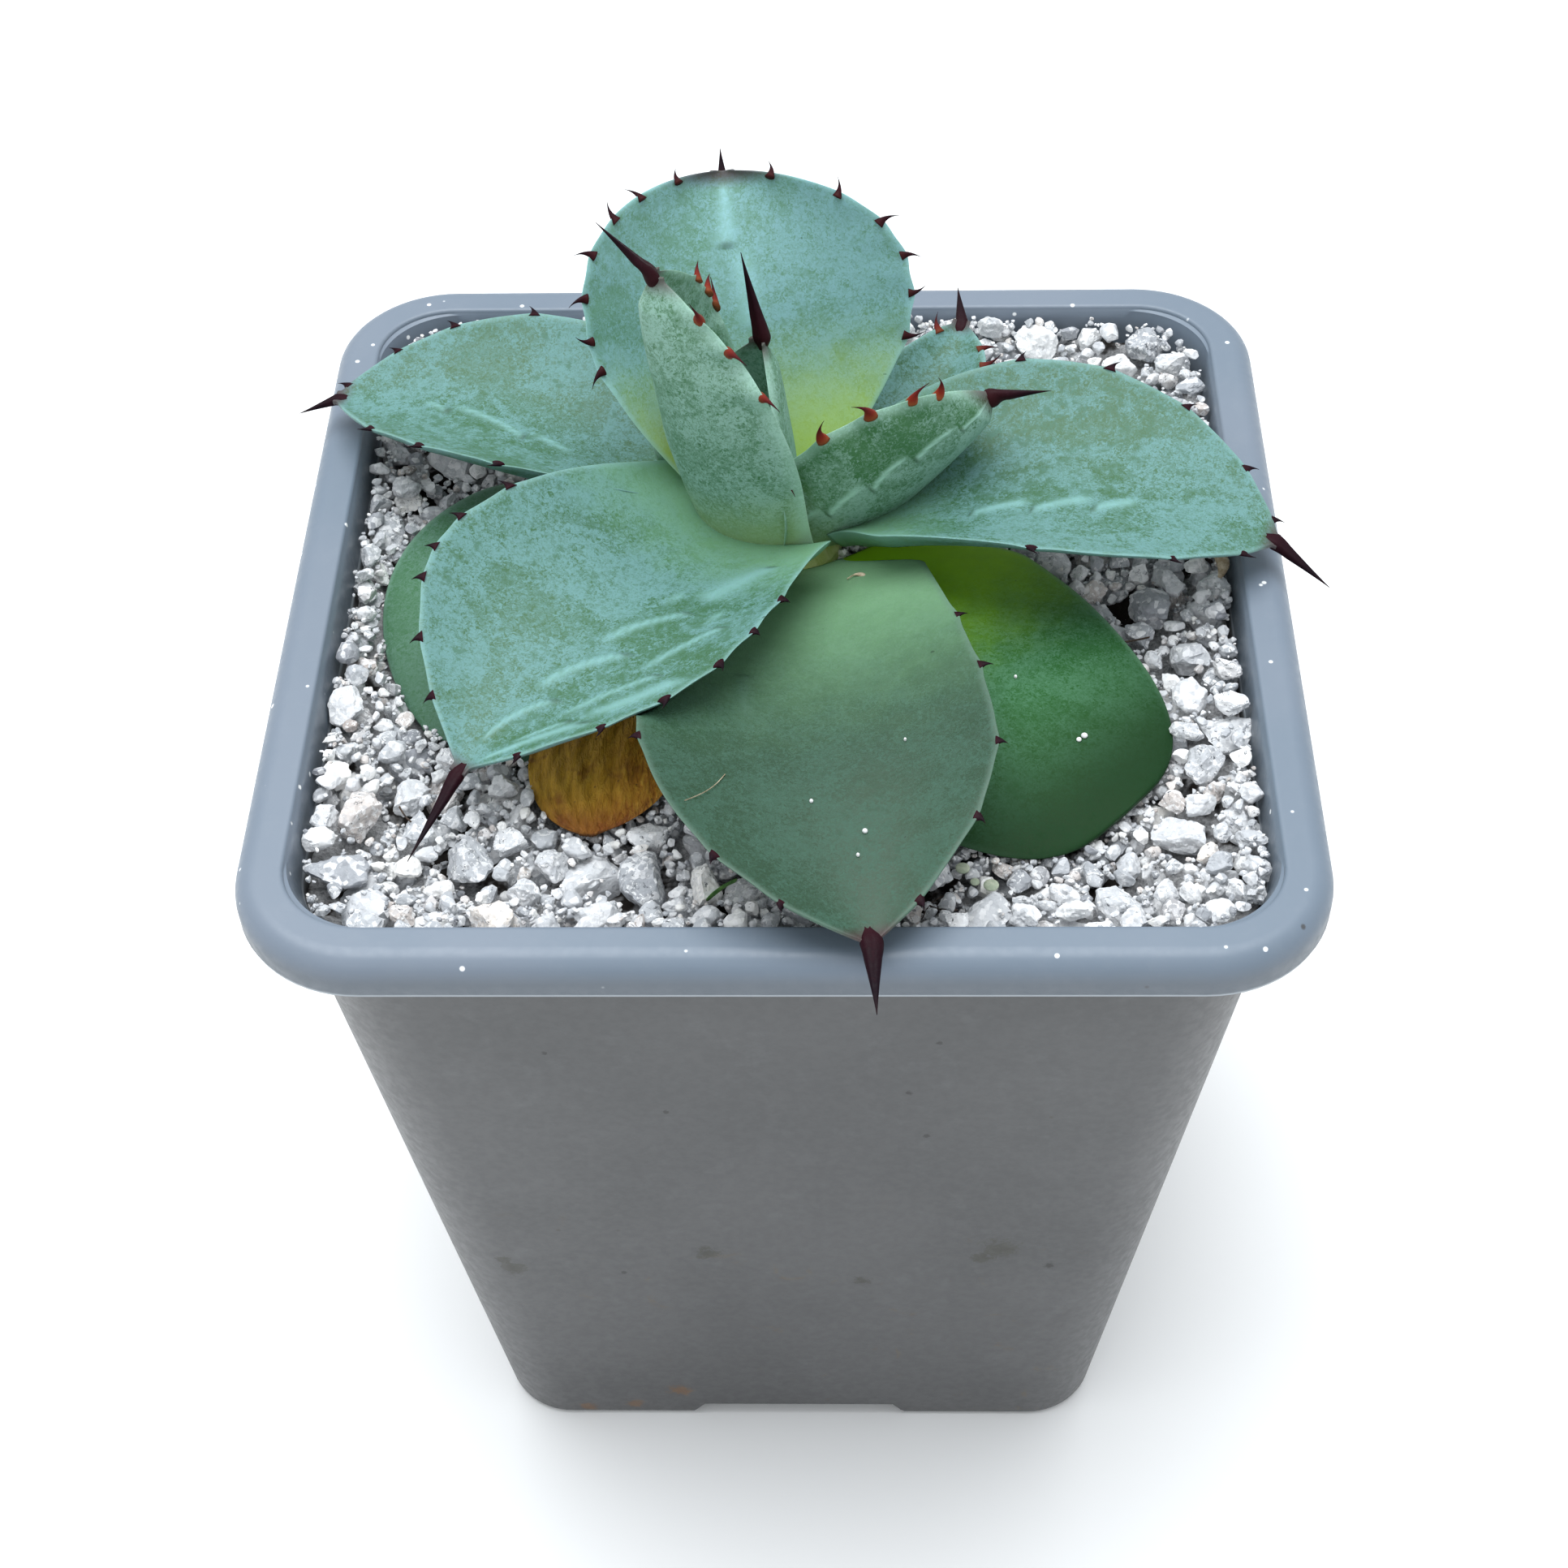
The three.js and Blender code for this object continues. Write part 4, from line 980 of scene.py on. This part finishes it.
def grit_material():
    n = Nodes("pumice")
    tint, kind = n.field("tint"), n.field("kind")
    colour = n.ramp(tint, [(0.0, (0.26, 0.27, 0.30)), (0.15, (0.43, 0.45, 0.48)),
                           (0.5, (0.60, 0.615, 0.64)), (0.8, (0.76, 0.77, 0.79)),
                           (0.93, (0.93, 0.93, 0.92)), (1.0, (0.93, 0.91, 0.87))])
    warm = n.span(kind, 0.86, 0.97)
    colour = n.blend(n.times(warm, 0.5), colour, (0.62, 0.50, 0.42))
    # Each stone is a cluster of crystals, some clear and grey, some white.
    crystal = n.chips(1.5)
    colour = n.blend(n.span(crystal, 0.6, 0.9, 0.0, 0.6), colour, (0.95, 0.95, 0.96))
    colour = n.blend(n.span(crystal, 0.05, 0.3, 0.4, 0.0), colour, (0.40, 0.42, 0.45))
    white = n.span(n.noise(1.6, 3, 0.7, 0.6, at=n.shifted(4.0, 9.0, 2.0)), 0.55, 0.62)
    crumbly = n.span(kind, 0.2, 0.7, 0.15, 0.85)
    colour = n.blend(n.times(white, crumbly), colour, (0.97, 0.97, 0.97))
    dark = n.span(n.noise(1.5, 4, 0.75, 0.8, at=n.shifted(70.0, 1.0, 5.0)), 0.595, 0.65)
    spotted = n.span(kind, 0.3, 0.7, 0.1, 0.95)
    colour = n.blend(n.times(dark, spotted), colour, (0.07, 0.078, 0.09))
    rough = n.noise(3.2, 5, 0.75)
    height = n.plus(rough, n.times(n.cells(2.0), 0.8))
    return n.finish(colour, 0.7, n.bump(height, 0.3, 0.55), Specular_IOR_Level=0.5,
                    Subsurface_Weight=0.03, Subsurface_Radius=(0.4 * MM, 0.4 * MM, 0.4 * MM))


def soil_material():
    n = Nodes("potting_mix")
    lumps = n.noise(0.9, 6, 0.75)
    colour = n.ramp(lumps, [(0.3, (0.006, 0.004, 0.003)), (0.55, (0.022, 0.014, 0.009)),
                            (0.75, (0.06, 0.038, 0.022))])
    return n.finish(colour, 0.95, n.bump(lumps, 1.0, 0.9))


def fines_material():
    """Pumice dust between the stones, with the dark mix showing through here and there."""
    n = Nodes("fines")
    crumbs = n.noise(2.2, 5, 0.75)
    dust = n.blend(n.span(crumbs, 0.35, 0.65), (0.30, 0.30, 0.31), (0.72, 0.72, 0.73))
    open_mix = n.span(n.noise(0.11, 4, 0.6, at=n.shifted(2.0, 14.0, 0.0)), 0.52, 0.58)
    colour = n.blend(open_mix, dust, (0.02, 0.014, 0.010))
    return n.finish(colour, 0.95, n.bump(crumbs, 0.8, 0.9))


def stem_material():
    n = Nodes("stem_green")
    cloud = n.noise(0.5, 4, 0.6)
    colour = n.blend(n.span(cloud, 0.3, 0.7), (0.25, 0.34, 0.06), (0.42, 0.5, 0.2))
    return n.finish(colour, 0.5, n.bump(cloud, 0.4, 0.5))


# Stains and dots on the pot's front wall: across, height, radius, colour.
SOILED, RUST, DOT = (0.034, 0.033, 0.024), (0.13, 0.062, 0.018), (0.012, 0.011, 0.010)
WALL_MARKS = [
    (24, 45, 2.0, SOILED), (22, 43, 1.2, SOILED), (-33, 40, 1.4, SOILED), (-34, 42, 0.8, SOILED),
    (-10, 44, 1.3, SOILED), (8, 37, 0.9, SOILED),
    (-15, 7, 1.3, RUST), (-21, 3, 0.9, RUST), (-27, 2, 1.0, RUST),
    (30, 41, 0.7, DOT), (40, 51, 0.5, DOT), (-25, 88, 0.3, DOT), (-13, 76, 0.35, DOT),
    (13, 80, 0.35, DOT), (15, 71, 0.35, DOT), (16, 90, 0.3, DOT), (-20, 39, 0.3, DOT),
]


def pot_material():
    n = Nodes("pot_plastic")
    broad = n.noise(0.035, 3, 0.5)
    fine = n.noise(0.9, 4, 0.6)
    z = n.height()
    rim = n.span(z, SKIRT_HEIGHT - 0.6, SKIRT_HEIGHT + 0.2)
    body = n.blend(n.span(broad, 0.35, 0.65), (0.062, 0.063, 0.065), (0.076, 0.077, 0.079))
    lip = n.blend(n.span(broad, 0.35, 0.65), (0.145, 0.185, 0.235), (0.165, 0.20, 0.25))
    # Painted shade: the skirt is drawn darker than the ledge on top, though it is the same paint.
    skirt = n.span(z, POT_HEIGHT - 3.4, POT_HEIGHT - 0.9, 1.0, 0.0)
    lip = n.blend(skirt, lip, (0.10, 0.122, 0.148))
    colour = n.blend(rim, body, lip)
    haze = n.span(n.noise(0.3, 5, 0.7), 0.5, 0.75, 0.0, 0.05)
    colour = n.blend(haze, colour, (0.32, 0.34, 0.36))
    # Pale dust and a few dark specks.
    dust = n.span(n.cells(0.27, at=n.shifted(3.0, 8.0, 0.0)), 0.05, 0.09, 1.0, 0.0)
    high = n.span(z, POT_HEIGHT - 4.5, POT_HEIGHT - 1.5)
    colour = n.blend(n.times(dust, high), colour, (0.85, 0.86, 0.87))
    specks = n.span(n.cells(0.075, at=n.shifted(40.0, 13.0, 6.0)), 0.012, 0.03, 0.8, 0.0)
    colour = n.blend(specks, colour, (0.05, 0.045, 0.04))
    # The skirt's lower edge catches the light.
    edge = n.times(rim, n.span(z, SKIRT_HEIGHT + 0.25, SKIRT_HEIGHT + 0.5, 0.7, 0.0))
    colour = n.blend(edge, colour, (0.42, 0.46, 0.50))
    # Brown water stains low on the walls.
    stain = n.noise(0.16, 5, 0.7, 1.2, at=n.shifted(11.0, 23.0, 47.0))
    low = n.span(z, 30.0, 62.0, 1.0, 0.0)
    colour = n.blend(n.times(n.span(stain, 0.62, 0.70), n.times(low, 0.6)),
                     colour, (0.10, 0.075, 0.045))
    ragged = n.minus(n.noise(0.9, 5, 0.75, 0.6), 0.5)
    for x, high_up, radius, paint in WALL_MARKS:
        near = n.near((x, -body_width(high_up) / 2, high_up), radius, ragged)
        colour = n.blend(n.times(near, 0.8), colour, paint)
    height = n.plus(n.times(fine, 0.2), broad)
    roughness = n.span(fine, 0.3, 0.7, 0.36, 0.48)
    return n.finish(colour, roughness, n.bump(height, 0.25, 0.25), Specular_IOR_Level=0.5)


# ---------- build ----------
POT = pot_material()
SOIL = soil_material()
FINES = fines_material()
STEM_GREEN = stem_material()
GRIT = grit_material()
HORN = horn_material()
SKINS = {
    "young": leaf_material("leaf_young", (0.045, 0.150, 0.055), (0.245, 0.42, 0.345),
                           (0.30, 0.44, 0.20), 0.62, 0.55, mark=0.95, mottle=0.9, rub=0.42),
    "back": leaf_material("leaf_back_skin", (0.11, 0.25, 0.16), (0.205, 0.40, 0.42),
                          (0.50, 0.68, 0.10), 0.65, 0.5, reach=0.56, mottle=0.8, mark=0.5),
    "bloom": leaf_material("leaf_bloom", (0.034, 0.110, 0.044), (0.115, 0.250, 0.242),
                           (0.17, 0.36, 0.20), 0.62, 0.52, mark=0.75, mottle=1.1),
    "front": leaf_material("leaf_front_skin", (0.014, 0.048, 0.022), (0.031, 0.086, 0.056),
                           (0.19, 0.37, 0.20), 0.45, 0.5, reach=0.66),
    # The low skin's bright yellow-green base is partly its own colour and partly painted light; its dark
    # tip is painted shade.
    "low": leaf_material("leaf_low_skin", (0.018, 0.090, 0.020), (0.062, 0.170, 0.088),
                         (0.36, 0.72, 0.012), 0.5, 0.6, reach=0.6, shade=0.92, gloss=0.12,
                         mottle=0.8, full=0.95, horned=False),
    "low_left": leaf_material("leaf_low_left_skin", (0.045, 0.14, 0.06), (0.105, 0.215, 0.155),
                              (0.30, 0.46, 0.012), 0.5, 0.6, shade=0.3, gloss=0.2, mottle=0.6,
                              horned=False),
    "dead": dead_material(),
}

piece(make_pot(POT), "pot", "pot")
for node, material in (("potting_mix", SOIL), ("stem", STEM_GREEN)):
    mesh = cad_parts[node].data
    mesh.materials.clear()
    mesh.materials.append(material)

made = {}
for name, leaf in LEAVES.items():
    over = tree_of([made[n] for n in leaf["under"]]) if leaf["under"] else None
    ob = made[name] = blade_mesh(name, leaf, SKINS[leaf["skin"] or leaf["look"]], over)
    slot = {"low": "leaf_low", "dead": "dead_leaf"}.get(leaf["look"], "leaf")
    piece(ob, slot, name)
    horn = horn_mesh(name, leaf, HORN, over)
    if horn:
        piece(horn, slot)

blades = list(made.values())
laid = settle_grit(*lay_of_leaves(blades))
replaced = ["pumice_dressing", *(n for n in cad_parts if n.startswith("stone_"))]
for ob in grit_pieces(laid, GRIT):
    piece(ob, "pumice", *replaced)
    replaced = []  # the first piece stands for them all


def soil_sheet():
    """What shows between the stones, pumice dust and dark mix: a closed, lumpy slab."""
    steps = 110
    span = np.linspace(-1, 1, steps)
    X, Y = np.meshgrid(span, span, indexing="ij")
    reach = HALF_OPENING - 0.2
    x, y = X * reach, Y * reach
    # Rounded corners: places beyond the arc are drawn in to it.
    straight = reach - OPENING_RADIUS
    dx, dy = np.maximum(np.abs(x) - straight, 0), np.maximum(np.abs(y) - straight, 0)
    far = np.hypot(dx, dy)
    pull = np.where(far > OPENING_RADIUS, OPENING_RADIUS / np.maximum(far, 1e-6), 1)
    both = (dx > 0) & (dy > 0)
    x = np.where(both, np.sign(x) * (straight + dx * pull), x)
    y = np.where(both, np.sign(y) * (straight + dy * pull), y)
    z = np.array([
        noise.fractal(Vector((a * 0.5, b * 0.5, 1.5)), 0.8, 2.0, 4) for a, b in zip(x.flat, y.flat)
    ]).reshape(x.shape)
    top = np.stack([x, y, DUST_LEVEL + 0.7 * z + bank(x, y)], -1).reshape(-1, 3)
    low = np.stack([x, y, np.full_like(x, DEEP)], -1).reshape(-1, 3)
    i, j = np.meshgrid(np.arange(steps - 1), np.arange(steps - 1), indexing="ij")
    a = (i * steps + j).ravel()
    quads = np.stack([a, a + steps, a + steps + 1, a + 1], -1)
    n = len(top)
    faces = quads.tolist() + (quads[:, ::-1] + n).tolist()
    border = [*range(steps - 1), *range(steps - 1, n - 1, steps),
              *range(n - 1, n - steps, -1), *range(n - steps, 0, -steps)]
    faces += [(p, q, q + n, p + n) for p, q in zip(border, border[1:] + border[:1])]
    return make_object("soil_surface", np.concatenate([top, low]), faces, FINES)


piece(soil_sheet(), "potting_mix")


# ---------- litter ----------
def dry_material(name, dark, light):
    n = Nodes(name)
    fibre = n.noise(1.4, 4, 0.6)
    return n.finish(n.blend(n.span(fibre, 0.35, 0.65), dark, light), 0.7, n.bump(fibre, 0.2, 0.5))


def bit(path, wide, deep):
    """A small closed body along a path of points."""
    return loft(horn_rings(path, np.array((0.8, 0.6, 0)), np.array((0, 0, 1.0)), wide, deep))


CURL = np.linspace(0, 1, 10)  # along a scrap


def scrap(path, width, thick):
    """A flat scrap, widest in the middle, through the places that path gives for x, y and z."""
    wide = width * np.sqrt(np.sin(np.pi * np.clip(CURL, 0.03, 0.97)))
    return bit(np.stack(path, -1), wide, thick + 0 * CURL)


def litter(name, bits, material, slot):
    points, faces, start = [], [], 0
    for got, quads in bits:
        points.append(got)
        faces += [tuple(start + v for v in f) for f in quads]
        start += len(got)
    return piece(make_object(name, np.concatenate(points), faces, material), slot)


def seed(x, y, z, radius):
    t = np.linspace(0.02, 0.98, 9)
    path = np.stack([x + 0 * t, y + 0 * t, z + 0.5 * (t - 0.5)], -1)
    wide = radius * np.sqrt(1 - (2 * t - 1) ** 2)
    angle = np.linspace(0, 2 * np.pi, HORN_SIDES, endpoint=False)
    ring = np.stack([np.cos(angle), np.sin(angle), 0 * angle], -1)
    return loft([p + w * ring for p, w in zip(path, wide)])


def fibre(ends, radius, sag=0.0):
    """A fine thread between two places, bowed sideways by sag."""
    a, b = np.array(ends, float)
    t = np.linspace(0, 1, 9)[:, None]
    bow = np.cross(b - a, (0, 0, 1.0))
    path = a + (b - a) * t + bow / np.linalg.norm(bow) * sag * np.sin(np.pi * t)
    return bit(path, np.full(9, radius), np.full(9, radius))


leaf_tree = tree_of(blades)


def top_of(x, y):
    """Height of the uppermost leaf surface over a place."""
    return leaf_tree.ray_cast(Vector((x, y, 200)), Vector((0, 0, -1)))[0].z


level = GRIT_LEVEL + 0.6
STRAW = dry_material("straw", (0.36, 0.27, 0.17), (0.62, 0.52, 0.38))
PALE = dry_material("seed_skin", (0.30, 0.36, 0.26), (0.46, 0.50, 0.38))
FIBRE = dry_material("root_fibre", (0.02, 0.012, 0.008), (0.06, 0.035, 0.02))
SPROUT = dry_material("green_bit", (0.05, 0.16, 0.03), (0.12, 0.28, 0.06))
litter("litter_straw", [
    scrap((47.2 + 1.2 * np.sin(CURL * 3), 7.0 - 4.5 * CURL, 108.6 - 1.2 * CURL), 0.9, 0.25),
    fibre([(-9.3, -41.2, top_of(-9.3, -41.2) + 0.1), (-5.6, -35.8, top_of(-5.6, -35.8) + 0.1)],
          0.08, 0.5),
    scrap((6.6 + 2.2 * CURL, 1.2 + 0.8 * np.sin(CURL * 3), top_of(7.5, 1.6) + 0.15 + 0 * CURL),
          0.4, 0.15),
], STRAW, "dead_leaf")
litter("litter_seeds", [
    seed(18.2, -38.9, level + 0.5, 0.75), seed(21.0, -41.3, level + 0.6, 0.8),
    seed(19.4, -40.6, level + 0.3, 0.5),
], PALE, "dead_leaf")
litter("litter_fibres", [
    fibre([(13.5, -42.0, level), (17.5, -44.5, level + 0.4)], 0.13, 0.8),
    fibre([(14.0, -45.5, level + 0.3), (17.0, -41.8, level)], 0.1, -0.6),
    fibre([(33.0, -5.6, level + 0.2), (39.5, -5.0, level + 0.6)], 0.14, 0.3),
    fibre([(-40.0, -30.0, level + 0.3), (-36.5, -33.0, level)], 0.1, 0.6),
], FIBRE, "potting_mix")
crumbs = [(3.0, -38.2, 0.2), (8.3, -42.0, 0.28), (7.6, -45.0, 0.18), (31.4, -21.6, 0.36),
          (30.8, -22.2, 0.28), (12.4, -30.2, 0.15), (24.5, -13.5, 0.18)]
litter("litter_crumbs", [seed(x, y, top_of(x, y) + 0.15, size) for x, y, size in crumbs],
       dry_material("crumb_skin", (0.62, 0.63, 0.64), (0.9, 0.9, 0.9)), "pumice")
litter("litter_green", [
    scrap((-7.4 + 2.6 * CURL, -43.0 + 2.4 * CURL, level + 0.5 + 0.3 * np.sin(CURL * 3)), 0.95, 0.3),
], SPROUT, "leaf_low")

# ---------- stage, light and camera ----------
stage = Nodes("stage")
tone = stage.noise(0.004, 2, 0.5)
stage_paint = stage.finish(stage.blend(tone, (0.93, 0.93, 0.93), (0.95, 0.95, 0.95)), 0.9)
FAR = 3000.0
corners = [(-FAR, -FAR, 0), (FAR, -FAR, 0), (FAR, FAR, 0), (-FAR, FAR, 0)]
make_object("floor", corners, [(0, 1, 2, 3)], stage_paint)

world = bpy.data.worlds.new("studio")
bpy.context.scene.world = world
world.use_nodes = True
sky = world.node_tree.nodes["Background"].inputs
sky["Color"].default_value = (0.93, 0.97, 1.0, 1)
sky["Strength"].default_value = 0.84


def area_light(name, place, target, size, power, colour):
    """A round light; its places and size are in metres."""
    data = bpy.data.lights.new(name, "AREA")
    data.shape = "DISK"
    data.size = size
    data.energy = power
    data.color = colour
    ob = bpy.data.objects.new(name, data)
    bpy.context.scene.collection.objects.link(ob)
    ob.location = place
    ob.rotation_mode = "QUATERNION"
    ob.rotation_quaternion = (Vector(target) - Vector(place)).to_track_quat("-Z", "Y")


area_light("sky", (-0.1, 0.15, 1.2), (0, 0, 0.1), 1.2, 17, (0.95, 0.98, 1.0))
area_light("front", (-0.35, -1.1, 0.9), (0, 0, 0.12), 0.7, 1.2, (0.97, 0.99, 1.0))

camera = bpy.data.objects.new("camera", bpy.data.cameras.new("camera"))
bpy.context.scene.collection.objects.link(camera)
camera.data.sensor_width = 36
camera.data.lens = 64.63
# The photograph's viewpoint, as solved from the pot's rim and foot.
right = Vector((0.99969057, 0.01559938, -0.01937589))
upward = Vector((0.00220431, 0.7203113, 0.69364744))
forward = Vector((-0.02477714, 0.69347552, -0.72005403))
camera.matrix_world = Matrix.Translation((0.007209, -0.230551, 0.317423)) @ Matrix(
    (right, upward, -forward)
).transposed().to_4x4()
camera.data.clip_start, camera.data.clip_end = 0.01, 20
bpy.context.scene.camera = camera
bpy.context.scene.view_settings.view_transform = "Standard"
